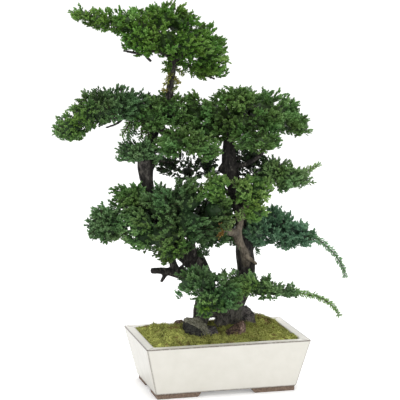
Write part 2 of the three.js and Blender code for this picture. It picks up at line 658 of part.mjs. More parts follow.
// Whether the free parts of two shoots come nearer each other than the room they need
function areCrowded(one, other) {
  const shares = [0.5, 0.75, 1];
  return shares.some((a) => shares.some(
    (b) => pointAlong(one, a).distanceTo(pointAlong(other, b)) < SHOOT_ROOM));
}

// The shoots that have room beside those kept before them
function thinned(shoots, kept) {
  const chosen = [];
  for (const shoot of shoots) {
    if (![...kept, ...chosen].some((other) => areCrowded(shoot, other))) {
      chosen.push(shoot);
    }
  }
  return chosen;
}

function growShoots(name, random) {
  const lumps = PADS[name];
  const strangers = Object.keys(PADS).filter((other) => other !== name).flatMap((other) => PADS[other]);
  const shoots = [];
  for (const lump of lumps) {
    shoots.push(...lumpShoots(lump, random).filter((shoot) => !isBuried(shoot, lump, lumps)));
  }
  for (const points of TAILS[name] ?? []) {
    shoots.push(...tailShoots(points, random));
  }
  return shoots.filter((shoot) => !isBlocked(shoot, strangers));
}

// Each pad gives way to the wood and to the pads made before it
function makePads(wood) {
  const random = seededRandom(SEED);
  const pads = [];
  for (const name of Object.keys(PADS)) {
    const lumps = PADS[name];
    const shoots = thinned(growShoots(name, random), pads.flatMap((pad) => pad.shoots));
    const nearLumps = pads.flatMap((pad) => pad.lumps)
      .filter((lump) => lumps.some((own) => Math.abs(own[0] - lump[0]) < own[3] + lump[3]));
    const core = union(lumps.map((lump) => lumpCore(lump, 0)))
      .subtract(union(nearLumps.map((lump) => lumpCore(lump, PAD_GAP))));
    const stems = [...(TAILS[name] ?? []), ...(TWIGS[name] ?? [])]
      .map((points) => limb(points, BRANCH_SIDES, 0));
    const leafy = union([core, ...stems, ...shoots.map(shootSolid)]);
    pads.push({ name, lumps, shoots, solid: wholeBody(leafy.subtract(wood), SHORTEST_ROUGH_EDGE) });
  }
  return pads;
}

// The whole tree in its pot

const woodAndGap = makeWood(GAP);
const woodAndLooseGap = makeWood(LOOSE_GAP);
const stoneNames = Object.keys(STONES);
const stonesAndGap = stoneNames.map((name, i) => makeStone(STONES[name], SEED + i, LOOSE_GAP));
const moss = makeMoss().subtract(union([woodAndLooseGap, ...stonesAndGap]));

addPiece("pot", wholeBody(makePot()), finish(0xe8e6dc, 0.25));
addPiece("drain_screen_left", makeScreen(-1), finish(0x2b2b2b, 0.6));
addPiece("drain_screen_right", makeScreen(1), finish(0x2b2b2b, 0.6));
addPiece("soil", wholeBody(makeSoil(woodAndGap)), finish(0x4a3828, 0.95));
addPiece("moss", wholeBody(moss, SHORTEST_ROUGH_EDGE), finish(0x7d8634, 0.95));
stoneNames.forEach((name, i) => {
  const stone = makeStone(STONES[name], SEED + i, 0).subtract(woodAndLooseGap);
  addPiece(name, wholeBody(stone, SHORTEST_ROUGH_EDGE), finish(0x5b524a, 0.9));
});
addPiece("tree_wood", wholeBody(makeWood(0), GAP), finish(0x43372f, 0.9));
for (const pad of makePads(woodAndLooseGap)) {
  addPiece(`foliage_${pad.name}`, pad.solid, finish(0x3d6630, 0.8));
}

// The origin goes under the middle of the whole outline
const outline = new THREE.Box3().setFromObject(tree);
const centre = outline.getCenter(new THREE.Vector3());
tree.position.set(-centre.x, -centre.y, -outline.min.z);

export default tree;
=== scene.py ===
# A two-trunked Japanese garden juniper bonsai in its white glazed pot. Sizes are in
# millimetres, laid out from the middle of the pot with z = 0 under its feet.

import itertools

import bpy
import numpy as np
from mathutils import Matrix, Vector


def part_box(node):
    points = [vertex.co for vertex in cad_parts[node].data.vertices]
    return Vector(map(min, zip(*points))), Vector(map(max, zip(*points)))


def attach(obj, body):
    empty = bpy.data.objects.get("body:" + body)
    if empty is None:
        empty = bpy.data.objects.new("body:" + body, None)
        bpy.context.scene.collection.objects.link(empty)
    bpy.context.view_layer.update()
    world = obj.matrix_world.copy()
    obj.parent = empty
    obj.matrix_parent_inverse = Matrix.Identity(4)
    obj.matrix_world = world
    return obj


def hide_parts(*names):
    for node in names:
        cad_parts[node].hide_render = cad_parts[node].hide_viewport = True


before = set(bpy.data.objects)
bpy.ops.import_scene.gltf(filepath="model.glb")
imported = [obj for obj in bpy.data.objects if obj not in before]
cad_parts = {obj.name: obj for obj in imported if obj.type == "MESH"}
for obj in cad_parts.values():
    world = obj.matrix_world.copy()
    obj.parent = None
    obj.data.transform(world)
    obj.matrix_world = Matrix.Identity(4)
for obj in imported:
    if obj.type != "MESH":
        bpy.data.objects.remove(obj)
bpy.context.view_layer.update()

MM = 0.001
pot_low, pot_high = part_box("pot")
POT_LENGTH, POT_WIDTH, POT_HEIGHT = [round(side / MM, 1) for side in pot_high - pot_low]
POT_MIDDLE = np.array([(pot_low.x + pot_high.x) / 2, (pot_low.y + pot_high.y) / 2, 0]) / MM
UP = np.array([0.0, 0.0, 1.0])
GOLDEN_ANGLE = np.pi * (3 - np.sqrt(5))
SEED = 4107

# Pot. Its walls lean out by these amounts from its floor to its lip.
END_LEAN = 28
SIDE_LEAN = 26
CORNER_RADIUS = 6
CORNER_SHARPNESS = 0.8
CORNER_STEPS = 9
SIDE_STEPS = 20
LOW_ROUND = 2
RIM_ROUND = 1.6
LIP_ROUND = 2
LIP_WIDTH = 23
LIP_DEPTH = 12
LIP_SAG = 0.35
WALL = 10
MIDDLE_INSET = 60
FLOOR = 12
FOOT_HEIGHT = 12
FOOT_LENGTH = 110
FOOT_SIDE_LENGTH = 75
FOOT_BREADTH = 26
FOOT_SLANT = 10
FOOT_INSET = 4

# Rings of a foot's outline: their heights, and how far they draw in
FOOT_RINGS = ((0.0, 1.6), (0.5, 0.6), (1.6, 0.0), (6.0, 0.0), (FOOT_HEIGHT + 1.0, 0.0))
DRAIN_RADIUS = 12
DRAIN_OFFSET = 90
DRAIN_MARGIN = 8

# Moss
SOIL_TOP = 120
MOSS_EDGE = 127
MOSS_COLUMNS = 150
MOSS_ROWS = 92
MOSS_GAP = 0.3
MOSS_END_SLOPE = 36
MOSS_SIDE_SLOPE = 30
MOSS_STALKS = 15000
STALK_LENGTHS = (2.5, 6.5)
STALK_RADIUS = 0.8
STALK_LEAN = 0.55
STALK_VARIETY = 0.28
CUSHION_HEIGHT = 20
CUSHION_LEVEL = 0.62
MOSS_MOUNDS = [
    (26, 4, 68, 46, 25),
    (118, 44, 56, 44, 20),
    (-128, -26, 48, 52, 23),
    (-100, 10, 32, 28, 16),
    (-150, 30, 30, 36, 15),
]

# Stones standing in the moss: the direction that the lighter side faces, how craggy the stone is,
# and its corner points. A side takes the lighter colours where it faces within about 42 degrees of
# that direction.
LIGHTER_SIDE_FROM = 0.74
LIGHTER_SIDE_FADE = 0.08
STONE_RINGS = 44
STONE_COLUMNS = 66
STONES = {
    "stone_slab": ((0.12, -0.30, 0.94), 4.2, [
        (-83, -14, 174), (-42, -4, 172), (-28, -32, 153), (-31, -50, 144), (-55, -54, 154), (-76, -48, 167),
        (-88, -32, 170), (-88, -54, 149), (-39, -63, 132), (-91, -34, 155), (-84, -46, 120), (-40, -52, 118),
        (-86, -6, 122), (-42, 8, 122), (-40, 6, 160)]),
    "stone_dark": ((0.45, -0.35, 0.82), 3.2, [
        (83, 20, 188), (75, 22, 184), (91, 18, 180), (102, 14, 165), (104, 6, 145), (63, 8, 174),
        (50, -2, 152), (77, -6, 146), (84, 40, 182), (98, 44, 160), (62, 38, 166), (52, 36, 140),
        (105, 4, 118), (78, -8, 116), (48, -4, 118), (102, 46, 118), (52, 44, 118)]),
    "stone_brown": ((0.80, -0.55, 0.25), 3.0, [
        (53, -50, 170), (59, -52, 157), (57, -59, 141), (33, -70, 130), (4, -69, 131), (9, -60, 149),
        (33, -54, 161), (52, -34, 164), (60, -30, 140), (14, -34, 142), (57, -52, 116), (34, -62, 116),
        (4, -60, 116), (10, -28, 116), (58, -26, 116)]),
    "stone_small": ((0.20, -0.50, 0.80), 1.2, [
        (-91, 40, 157), (-76, 38, 158), (-70, 36, 148), (-94, 36, 147), (-84, 32, 146), (-76, 52, 154),
        (-94, 48, 150), (-96, 34, 118), (-68, 32, 118), (-70, 56, 118), (-94, 54, 118)]),
}
ROOT_STONE = ((0.20, -0.50, 0.80), 2.2, [
    (-29, -38, 156), (-11, -36, 153), (-9, -56, 139), (-14, -62, 134), (-35, -60, 134), (-9, -20, 152),
    (-28, -22, 155), (-8, -54, 116), (-34, -54, 116), (-6, -16, 116), (-30, -16, 116)])

# Wood: points of each limb's middle line, written as (x, y, z, radius)
TRUNKS = [
    [(22, 6, 112, 34), (24, 4, 147, 28), (40, -2, 186, 28), (62, -2, 229, 22), (74, 0, 282, 20),
     (71, 0, 332, 20.5), (65, 2, 377, 19), (62, 4, 426, 18), (54, 6, 466, 17), (41, 6, 501, 18),
     (33, 6, 535, 21), (32, 8, 580, 15), (33, 8, 621, 11), (49, 10, 659, 8), (70, 12, 675, 6)],
    [(30, 0, 172, 26), (2, 5, 203, 23), (-12, 8, 222, 23), (-28, 10, 261, 23), (-54, 10, 309, 24),
     (-97, 8, 353, 20), (-140, 5, 414, 15), (-167, 5, 488, 12.5), (-174, 5, 530, 16),
     (-172, 5, 560, 23), (-160, 5, 605, 12), (-143, 5, 650, 9.5), (-121, 3, 699, 9),
     (-114, 0, 749, 8.5), (-108, 0, 787, 8.5), (-100, 0, 812, 7)],
]
ROOTS = [
    [(-14, 8, 226, 14), (-36, 12, 212, 10), (-42, 14, 190, 10), (-42, 18, 166, 12.5), (-43, 22, 112, 15)],
    [(-4, -2, 188, 19), (-28, -4, 180, 13), (-34, -2, 162, 11.5), (-35, 0, 112, 13)],
    [(16, -8, 156, 20), (-3, -14, 136, 12), (-13, -18, 112, 12)],
    [(32, 18, 160, 20), (38, 48, 134, 12), (42, 66, 112, 9)],
    [(54, 10, 172, 15), (64, 44, 140, 11), (70, 60, 112, 9)],
    [(26, 14, 155, 16), (6, 44, 127, 10), (-6, 60, 112, 8)],
]
PALE_BRANCH = [
    [(72, -8, 302, 11), (64, -22, 330, 10.5), (51, -31, 351, 10), (43, -37, 370, 10.5), (41, -40, 385, 10.5),
     (45, -42, 400, 8.5), (48, -46, 416, 6), (50, -50, 432, 4.5), (50, -54, 448, 3.8)],
    [(41, -40, 382, 11), (28, -46, 385, 10.5), (13, -53, 390, 9.5), (-2, -60, 392, 8)],
    [(62, -20, 326, 8), (68, -26, 321, 6.5), (80, -32, 312, 5), (91, -36, 303, 3.8)],
    [(49, -48, 424, 4.5), (58, -54, 440, 3.8), (62, -58, 454, 3)],
    [(46, -44, 404, 4), (38, -50, 420, 3), (28, -56, 419, 2.6), (19, -59, 414, 2.4)],
]
BRANCHES = [
    [(-108, 0, 787, 8), (-125, -8, 812, 7), (-150, -16, 832, 5.5)],
    [(-105, 0, 790, 7), (-82, -8, 808, 6), (-60, 0, 822, 4)],
    [(-102, -2, 792, 5), (-84, -5, 788, 4.5), (-55, -10, 772, 4), (-12, -15, 751, 3)],
    [(-125, -8, 810, 6), (-160, -20, 820, 5), (-190, -28, 815, 4), (-238, -34, 822, 2.5)],
    [(-186, -27, 816, 4), (-178, -30, 804, 3.4), (-170, -30, 796, 3)],
    [(-150, 5, 635, 9), (-175, 5, 660, 8), (-205, 0, 675, 7), (-245, -5, 682, 6)],
    [(-222, -4, 676, 5), (-245, -10, 652, 3), (-275, -12, 641, 2.4)],
    [(-177, 2, 560, 12), (-195, -8, 575, 7), (-208, -10, 579, 5)],
    [(-170, 10, 560, 12), (-145, 18, 560, 7), (-105, 26, 550, 5)],
    [(-150, 0, 638, 8), (-130, -22, 626, 6), (-110, -35, 615, 5)],
    [(33, 8, 612, 8), (5, 12, 632, 6), (-30, 16, 655, 5)],
    [(49, 10, 659, 8), (90, 15, 668, 6.5), (115, 15, 672, 5)],
    [(45, 12, 640, 7), (66, 40, 642, 5), (84, 58, 643, 4)],
    [(31, 6, 540, 10), (60, -25, 545, 7), (80, -55, 565, 6), (92, -68, 583, 5), (100, -76, 596, 4)],
    [(38, 6, 495, 9), (75, 0, 505, 7), (110, -8, 520, 5.5), (140, -14, 526, 4.5)],
    [(31, 8, 556, 9), (60, 18, 555, 5), (78, 24, 553, 4)],
    [(-97, 4, 352, 12), (-130, -2, 378, 8), (-185, 0, 402, 6), (-235, -6, 412, 5), (-262, -10, 415, 4)],
    [(-145, 5, 428, 10), (-175, 5, 455, 7), (-195, 3, 466, 5)],
    [(-58, 2, 314, 14), (-68, -22, 362, 8), (-76, -34, 388, 6)],
    [(-100, 12, 356, 13), (-108, 38, 384, 8), (-112, 52, 402, 6)],
    [(40, 4, 466, 11), (20, -25, 480, 6), (2, -44, 493, 4.5)],
    [(74, 6, 300, 13), (95, 25, 340, 9), (118, 38, 364, 7), (140, 43, 378, 6)],
    [(18, -18, 188, 15), (-5, -50, 215, 9), (-22, -62, 240, 7), (-38, -66, 258, 5)],
    [(60, -8, 226, 13), (62, -38, 250, 8), (78, -50, 262, 6)],
    [(-46, 8, 258, 12), (-96, 0, 282, 11), (-130, -5, 291, 8.5), (-164, -10, 294, 8)],
    [(-100, 0, 286, 10), (-108, 0, 304, 9), (-114, -6, 330, 8)],
    [(-80, 2, 280, 8), (-85, 2, 292, 6), (-88, 2, 301, 4)],
    [(-126, -5, 286, 6), (-140, -7, 265, 3.5)],
    [(30, 4, 540, 14), (15, 2, 533, 12), (7, 0, 530, 8)],
]

# Foliage pads: lumps of leafy shoots, each (x, y, z, half length, half depth, half height)
PADS = {
    "crown": [
        (-324, -10, 903, 36, 30, 15), (-281, 5, 889, 44, 40, 26), (-231, -15, 885, 45, 44, 32),
        (-188, -28, 855, 54, 52, 51), (-138, 5, 888, 52, 56, 41), (-94, 10, 882, 43, 52, 41),
        (-130, -22, 842, 50, 48, 42), (-75, -22, 838, 54, 56, 48), (-27, 6, 819, 47, 52, 52),
        (-27, -8, 783, 40, 46, 39), (-70, 50, 836, 50, 48, 42), (-158, 44, 855, 54, 46, 42),
    ],
    "upper_left": [
        (-359, -22, 641, 36, 38, 34), (-320, -5, 670, 40, 46, 42), (-280, 13, 686, 46, 50, 44),
        (-236, -4, 692, 44, 50, 41), (-284, -34, 678, 42, 40, 34), (-197, 12, 683, 34, 42, 36),
    ],
    "upper_centre": [
        (-146, 16, 690, 42, 44, 31), (-114, -6, 686, 34, 40, 32), (-162, -18, 660, 44, 44, 38),
        (-132, 34, 670, 44, 42, 36), (-92, 14, 656, 40, 38, 28),
    ],
    "centre_front": [
        (-116, -42, 610, 42, 40, 30), (-124, -36, 592, 30, 34, 25), (-72, -55, 604, 42, 41, 33),
        (-38, -52, 586, 35, 34, 27),
    ],
    "upper_right": [
        (-64, 8, 684, 24, 30, 34), (-54, 14, 660, 40, 40, 28), (-8, -2, 666, 50, 50, 37),
        (50, -2, 686, 50, 62, 44), (114, 18, 675, 56, 66, 43), (166, 5, 658, 44, 55, 43),
        (188, -10, 641, 35, 46, 36), (-2, 14, 630, 46, 47, 38), (45, -36, 644, 50, 46, 40),
        (114, -30, 650, 52, 50, 42), (100, 64, 648, 58, 50, 40), (36, 52, 654, 52, 48, 40),
        (-50, 16, 634, 42, 36, 18), (-38, 2, 680, 18, 20, 16),
        (90, -16, 614, 26, 24, 14), (122, -14, 612, 20, 22, 13),
    ],
    "upper_right_front": [(92, -82, 604, 44, 38, 25), (56, -66, 602, 34, 33, 22)],
    "small_left": [(-215, -12, 574, 31, 34, 24), (-185, -15, 584, 38, 40, 28), (-204, 14, 580, 36, 34, 27)],
    "inner_left": [(-108, 28, 541, 42, 36, 30), (-64, 32, 524, 42, 37, 31), (-18, 30, 536, 38, 32, 34)],
    "inner_right": [(88, 28, 542, 38, 37, 46), (73, -18, 568, 17, 16, 15), (96, -20, 546, 20, 18, 17)],
    "middle_right": [
        (124, -10, 521, 38, 42, 38), (166, -16, 507, 42, 47, 37), (199, -20, 511, 30, 33, 25),
        (142, 16, 527, 36, 34, 26),
    ],
    "left_tip": [(-287, -18, 412, 34, 40, 45), (-256, -4, 408, 38, 45, 41)],
    "upper_mid_left": [(-223, -8, 472, 35, 40, 34), (-192, 8, 466, 37, 43, 33)],
    "centre": [
        (-194, -28, 414, 46, 52, 52), (-145, -38, 452, 55, 52, 52), (-140, -44, 388, 55, 53, 55),
        (-80, -24, 464, 50, 52, 50), (-80, -48, 408, 57, 54, 57), (-26, -34, 392, 46, 48, 47),
        (-184, -28, 380, 50, 44, 38), (-134, -36, 342, 34, 35, 32), (-14, -34, 440, 46, 44, 42),
        (18, -14, 365, 34, 18, 13),
    ],
    "centre_back": [
        (-150, 60, 418, 55, 48, 48), (-80, 64, 420, 60, 49, 51), (-18, 56, 410, 48, 44, 46),
        (24, 48, 396, 42, 36, 38), (26, 48, 438, 44, 36, 32), (88, 42, 448, 36, 34, 34),
    ],
    "front_trunk": [
        (-16, -59, 498, 36, 36, 36), (46, -60, 488, 32, 36, 32), (88, -46, 484, 32, 36, 32),
        (80, -52, 436, 27, 32, 33),
    ],
    "lower_right": [
        (114, 42, 372, 44, 46, 47), (158, 43, 378, 44, 50, 48), (193, 36, 362, 40, 45, 44),
        (225, 26, 358, 33, 34, 36), (94, -12, 378, 32, 26, 37), (72, -28, 384, 17, 12, 28),
    ],
    "low_front": [
        (-82, -69, 271, 36, 38, 29), (-43, -64, 272, 40, 40, 37), (-42, -80, 234, 37, 38, 36),
        (-2, -84, 246, 39, 43, 47), (-47, -80, 206, 18, 22, 25),
    ],
    "low_right": [
        (62, -56, 257, 38, 38, 31), (97, -56, 248, 40, 39, 27), (134, -56, 240, 36, 33, 18),
        (166, -56, 236, 28, 26, 14),
    ],
}

# Slim leafy tails that run out of a pad: points of the stem, with the stem's radius
TAILS = {
    "middle_right": [[(200, -20, 510, 8), (230, -22, 530, 6), (250, -25, 540, 3)]],
    "lower_right": [
        [(228, 24, 362, 9), (264, 10, 346, 7), (287, 0, 327, 6), (306, -8, 305, 5), (319, -15, 279, 4),
         (325, -18, 257, 3)],
        [(105, 38, 350, 6), (112, 35, 330, 4), (115, 32, 316, 3)],
    ],
    "low_right": [
        [(160, -56, 238, 9), (203, -60, 229, 7), (239, -60, 220, 6), (265, -61, 206, 5),
         (284, -63, 188, 4), (295, -64, 171, 3)],
    ],
    "upper_left": [[(-204, 5, 680, 7), (-214, -6, 656, 6.5), (-224, -10, 640, 6), (-236, -12, 622, 4)]],
}

# Single sprigs that stand apart from a pad: points of the stem as above, tone, and how dry
SPRIGS = {
    "upper_left": [
        ([(-208, -4, 656, 5), (-216, -8, 634, 5), (-219, -10, 614, 4)], 0.35, 0.0),
        ([(-196, -2, 660, 5), (-204, -6, 640, 5), (-206, -8, 624, 4)], 0.2, 0.0),
    ],
    "crown": [
        ([(-112, 0, 766, 4), (-124, -6, 772, 4), (-136, -10, 774, 3)], 0.3, 0.1),
        ([(-110, 0, 778, 4), (-122, -6, 786, 4), (-134, -8, 792, 3)], 0.2, 0.0),
        ([(-109, 0, 776, 4), (-98, -6, 772, 4), (-88, -9, 764, 3)], 0.3, 0.2),
        ([(-111, -2, 768, 4), (-120, -9, 760, 4), (-127, -12, 750, 3)], 0.4, 0.4),
        ([(-109, -2, 784, 4), (-96, -9, 788, 4), (-84, -12, 784, 3)], 0.1, 0.0),
        ([(-112, -3, 758, 3), (-104, -9, 752, 3), (-98, -10, 744, 2)], 0.5, 0.5),
        ([(-70, -8, 780, 3), (-66, -10, 770, 3), (-64, -10, 758, 2)], 0.1, 0.0),
        ([(-50, -11, 770, 3), (-44, -12, 760, 3), (-42, -12, 752, 2)], 0.1, 0.0),
        ([(-34, -12, 763, 3), (-24, -14, 762, 3), (-16, -14, 768, 2)], 0.3, 0.0),
        ([(-84, -6, 787, 3), (-82, -9, 778, 3), (-84, -10, 770, 2)], 0.0, 0.0),
        ([(-104, -2, 800, 6), (-92, -6, 790, 6), (-80, -8, 782, 5)], 0.0, 0.0),
        ([(-80, -8, 788, 5), (-64, -10, 779, 6), (-48, -12, 768, 5)], 0.0, 0.0),
        ([(-112, -2, 792, 6), (-121, -4, 782, 6), (-126, -6, 772, 5)], 0.0, 0.0),
    ],
    "upper_centre": [
        ([(-180, -12, 646, 6), (-188, -14, 630, 6), (-192, -14, 612, 5)], 0.15, 0.0),
        ([(-168, -8, 640, 6), (-172, -10, 624, 6), (-176, -12, 610, 5)], 0.1, 0.0),
        ([(-116, 0, 738, 2), (-126, -5, 742, 2), (-134, -7, 740, 1)], 0.8, 0.4),
        ([(-119, 0, 724, 2), (-128, -5, 724, 2), (-137, -7, 728, 1)], 0.7, 0.5),
        ([(-115, 0, 736, 2), (-106, -5, 742, 2), (-98, -7, 744, 1)], 0.8, 0.3),
        ([(-117, 0, 722, 2), (-108, -5, 728, 2), (-102, -7, 734, 1)], 0.6, 0.2),
    ],
    "front_trunk": [
        ([(0, -60, 391, 3), (-8, -66, 398, 3), (-10, -68, 409, 2)], 1.1, 1.0),
        ([(-2, -60, 390, 3), (-10, -67, 387, 3), (-17, -69, 380, 2)], 1.0, 1.0),
        ([(0, -60, 391, 3), (-8, -67, 393, 3), (-18, -70, 398, 2)], 1.2, 1.0),
        ([(12, -54, 388, 3), (8, -62, 398, 4), (4, -66, 410, 3)], 1.3, 0.15),
        ([(16, -52, 388, 3), (14, -62, 400, 4), (16, -66, 412, 3)], 1.2, 0.1),
        ([(28, -56, 419, 3), (22, -62, 414, 3), (16, -66, 408, 2)], 1.0, 0.1),
        ([(44, -50, 414, 3), (38, -58, 424, 4), (32, -64, 434, 3)], 0.9, 0.1),
        ([(50, -54, 444, 3), (44, -62, 436, 4), (42, -66, 424, 3)], 1.0, 0.1),
    ],
    "centre": [
        ([(-66, 0, 332, 3), (-50, -12, 340, 4), (-36, -18, 348, 4), (-26, -20, 354, 3)], 0.0, 0.0),
        ([(-58, 0, 326, 3), (-44, -12, 333, 4), (-28, -18, 338, 3)], 0.0, 0.0),
        ([(-50, -8, 330, 3), (-38, -16, 328, 3), (-27, -20, 330, 3)], 0.05, 0.0),
    ],
    "low_front": [
        ([(0, -58, 264, 3), (1, -56, 280, 4), (2, -56, 296, 3)], 0.0, 0.0),
        ([(-8, -58, 262, 3), (-10, -56, 276, 3), (-9, -56, 288, 2)], 0.0, 0.0),
    ],
    "low_right": [
        ([(26, -54, 266, 3), (25, -56, 280, 4), (26, -57, 296, 3)], 0.0, 0.0),
        ([(36, -54, 270, 3), (34, -56, 282, 3), (36, -57, 293, 2)], 0.05, 0.0),
    ],
}

# Patches of lighter, newer growth: x, y, z, how far they reach, and how strong they are
FRESH_PATCHES = [
    (-350, -40, 660, 55, 0.8), (-217, -60, 871, 50, 0.3), (-90, -40, 880, 60, 0.2), (20, -60, 700, 70, 0.3),
    (-190, -60, 400, 60, 0.5), (-130, -80, 350, 55, 0.7), (70, -90, 470, 70, 0.9),
    (-20, -90, 500, 50, 0.8), (-50, -110, 212, 34, 1.0), (60, -90, 270, 50, 0.6),
    (80, -90, 400, 45, 0.8), (150, -40, 530, 50, 0.4),
]

# Patches of painted shade, where the foliage lies in shadow, in the same form
PAINTED_SHADE_PATCHES = [
    (-10, -60, 400, 60, 0.8), (20, -50, 440, 45, 0.8), (-60, -80, 380, 45, 0.4),
    (-140, -10, 655, 30, 0.5), (-196, -10, 640, 26, 0.6),
    (-20, 20, 640, 50, 0.5), (60, 0, 630, 60, 0.4), (90, 30, 540, 60, 0.8), (-230, 20, 660, 50, 0.3),
    (-52, -60, 448, 28, 0.9), (-18, -58, 450, 30, 1.0), (14, -54, 450, 26, 1.0), (8, -46, 368, 28, 0.7),
    (-23, -75, 457, 24, 0.7), (16, -75, 441, 22, 0.6), (-310, -10, 883, 30, 0.35), (-275, -20, 888, 30, 0.4),
    (-135, -50, 846, 34, 0.3), (-91, -50, 814, 34, 0.35), (-120, -10, 769, 22, 0.5), (-86, -10, 768, 22, 0.6),
    (-50, -20, 876, 30, 0.3), (108, -90, 621, 36, 0.35), (52, -80, 626, 30, 0.3), (125, 20, 411, 26, 0.5),
    (36, -30, 721, 34, 0.3), (-15, -20, 730, 30, 0.25),
]

# Clearings in the foliage, along the line that the tree is seen from: x and z of the middle at
# y = 0, half width, half height, and the nearest and furthest y. Along that line x and z change
# with y by the two slopes.
CLEARINGS = [
    (30, 480, 14, 19, -140, 120),
    (-6, 440, 46, 19, -140, -66),
    (-42, 436, 26, 17, -140, -72),
]
SIGHT_SLOPE_X = 0.268
SIGHT_SLOPE_Z = -0.163

# How much lighter or darker a pad is than the others
PAD_TONES = {
    "crown": -0.12, "upper_left": -0.3, "upper_centre": -0.12, "centre_front": -0.2, "upper_right": -0.14,
    "upper_right_front": -0.12, "small_left": -0.15, "middle_right": 0.2, "left_tip": 0.03,
    "centre": -0.2, "front_trunk": 0.05, "low_front": -0.12,
}

# Which green each pad has, where it isn't the plain one, and which pads are thin and airy
PAD_LEAVES = {
    "crown": "juniper_bright_green", "lower_right": "juniper_blue_green",
    "inner_left": "juniper_shaded", "inner_right": "juniper_shaded", "centre_back": "juniper_shaded",
    **dict.fromkeys(["upper_left", "small_left", "left_tip", "centre", "middle_right", "low_front",
                     "low_right"], "juniper_cool_green"),
}
AIRY_PADS = ("inner_left", "inner_right")

# Display colours of the leaves at their root, dark there as painted shade between the shoots,
# along them, at their tip, and where they are new
LEAF_COLOURS = {
    "juniper_green": ((54, 78, 38), (92, 130, 64), (120, 156, 92), (134, 170, 80)),
    "juniper_bright_green": ((52, 80, 28), (90, 134, 48), (117, 156, 74), (130, 168, 60)),
    "juniper_cool_green": ((52, 76, 44), (90, 126, 76), (118, 152, 104), (128, 166, 62)),
    "juniper_blue_green": ((46, 70, 52), (86, 128, 94), (116, 154, 116), (126, 166, 104)),
    "juniper_shaded": ((26, 38, 24), (46, 70, 40), (70, 98, 58), (84, 114, 60)),
}

# Material of each stone, its slot, and its display colours: dark and light on its sides, and dark
# and light on its lighter side
STONE_LOOKS = {
    "stone_slab": ("grey_stone", "pale_stone", ((6, 6, 6), (76, 76, 70), (96, 95, 80), (204, 201, 176))),
    "stone_dark": (
        "dark_stone", "dark_stone", ((34, 32, 32), (120, 114, 112), (40, 38, 38), (130, 124, 120))),
    "stone_brown": (
        "brown_stone", "brown_stone", ((46, 34, 28), (120, 98, 84), (104, 84, 72), (204, 174, 158))),
    "stone_small": (
        "pink_stone", "pale_stone", ((80, 62, 56), (150, 128, 118), (112, 92, 86), (172, 150, 142))),
}

random = np.random.default_rng(SEED)


# Number work shared by the shapes

CELL_KEYS = np.array([73856093, 19349663, 83492791])
SEED_KEY = 7919
FIRST_STIR = 1274126177
SECOND_STIR = 668265263
KEY_BITS = 0x7FFFFFFF
KEY_LEVELS = 65536
END_BULGE = 0.3


def unit(vectors):
    """Each vector divided by its length."""
    return vectors / np.maximum(np.linalg.norm(vectors, axis=-1, keepdims=True), 1e-9)


def scattered(cells, seed):
    """A random value from 0 to 1 for each cell of a grid, always the same for the same cell. The
    cell's three numbers are mixed into one key, which is stirred twice with large numbers."""
    key = cells @ CELL_KEYS + seed * SEED_KEY
    key = (key ^ (key >> 13)) * FIRST_STIR & KEY_BITS
    key = (key ^ (key >> 15)) * SECOND_STIR & KEY_BITS
    return (key ^ (key >> 11)) % KEY_LEVELS / (KEY_LEVELS - 1)


def noise(points, cell, seed):
    """Random values at the corners of a grid of cells, blended smoothly inside each cell, from 0 to 1."""
    place = np.asarray(points, float) / cell
    whole = np.floor(place).astype(np.int64)
    part = place - whole
    part = part * part * (3 - 2 * part)
    total = np.zeros(len(place))
    for corner in itertools.product((0, 1), repeat=3):
        total += scattered(whole + corner, seed) * np.prod(np.where(corner, part, 1 - part), axis=1)
    return total


def ridges(points, cell, seed):
    """Noise folded at its middle, which gives sharp crests with hollows between, from 0 to 1."""
    return 1 - np.abs(2 * noise(points, cell, seed) - 1)


def curve_through(points, steps):
    """A cubic between each two points, with the slopes of a curve that passes through all of them
    at a pace that follows the square root of their distances. Returns places and radii."""
    points = np.array(points, float)
    places = points[:, :3]
    before = np.vstack([2 * places[0] - places[1], places[:-2]])
    after = np.vstack([places[2:], 2 * places[-1] - places[-2]])
    start = places[:-1]
    end = places[1:]
    pace_before = np.sqrt(np.linalg.norm(start - before, axis=1))[:, None]
    pace = np.sqrt(np.linalg.norm(end - start, axis=1))[:, None]
    pace_after = np.sqrt(np.linalg.norm(after - end, axis=1))[:, None]
    slope_start = ((start - before) / pace_before - (end - before) / (pace_before + pace)
                   + (end - start) / pace) * pace
    slope_end = ((end - start) / pace - (after - start) / (pace + pace_after)
                 + (after - end) / pace_after) * pace
    t = (np.arange(steps) / steps)[None, :, None]
    path = ((2 * t**3 - 3 * t**2 + 1) * start[:, None] + (t**3 - 2 * t**2 + t) * slope_start[:, None]
            + (3 * t**2 - 2 * t**3) * end[:, None] + (t**3 - t**2) * slope_end[:, None])
    path = np.vstack([path.reshape(-1, 3), places[-1:]])
    radii = np.interp(np.arange(len(path)) / steps, np.arange(len(points)), points[:, 3])
    return path, radii


def grid_faces(rows, columns, closed_across):
    """Triangles of a grid of points, row by row. Across, the last column may join the first."""
    row, column = np.meshgrid(np.arange(rows - 1), np.arange(columns - (not closed_across)), indexing="ij")
    a = row * columns + column
    b = row * columns + (column + 1) % columns
    c = a + columns
    d = b + columns
    return np.concatenate([np.stack([a, b, d], -1).reshape(-1, 3), np.stack([a, d, c], -1).reshape(-1, 3)])


def cap_faces(first, columns, pole):
    """A fan of triangles from a ring of points to a pole."""
    ring = first + np.arange(columns)
    return np.stack([ring, np.roll(ring, -1), np.full(columns, pole)], -1)


def closed_rings(rings, columns):
    """Triangles over rings of points, with a pole before the first ring and one after the last.
    The two poles follow the rings' points."""
    last = rings * columns
    return np.vstack([
        grid_faces(rings, columns, True)[:, ::-1],
        cap_faces(0, columns, last),
        cap_faces(last - columns, columns, last + 1)[:, ::-1],
    ])


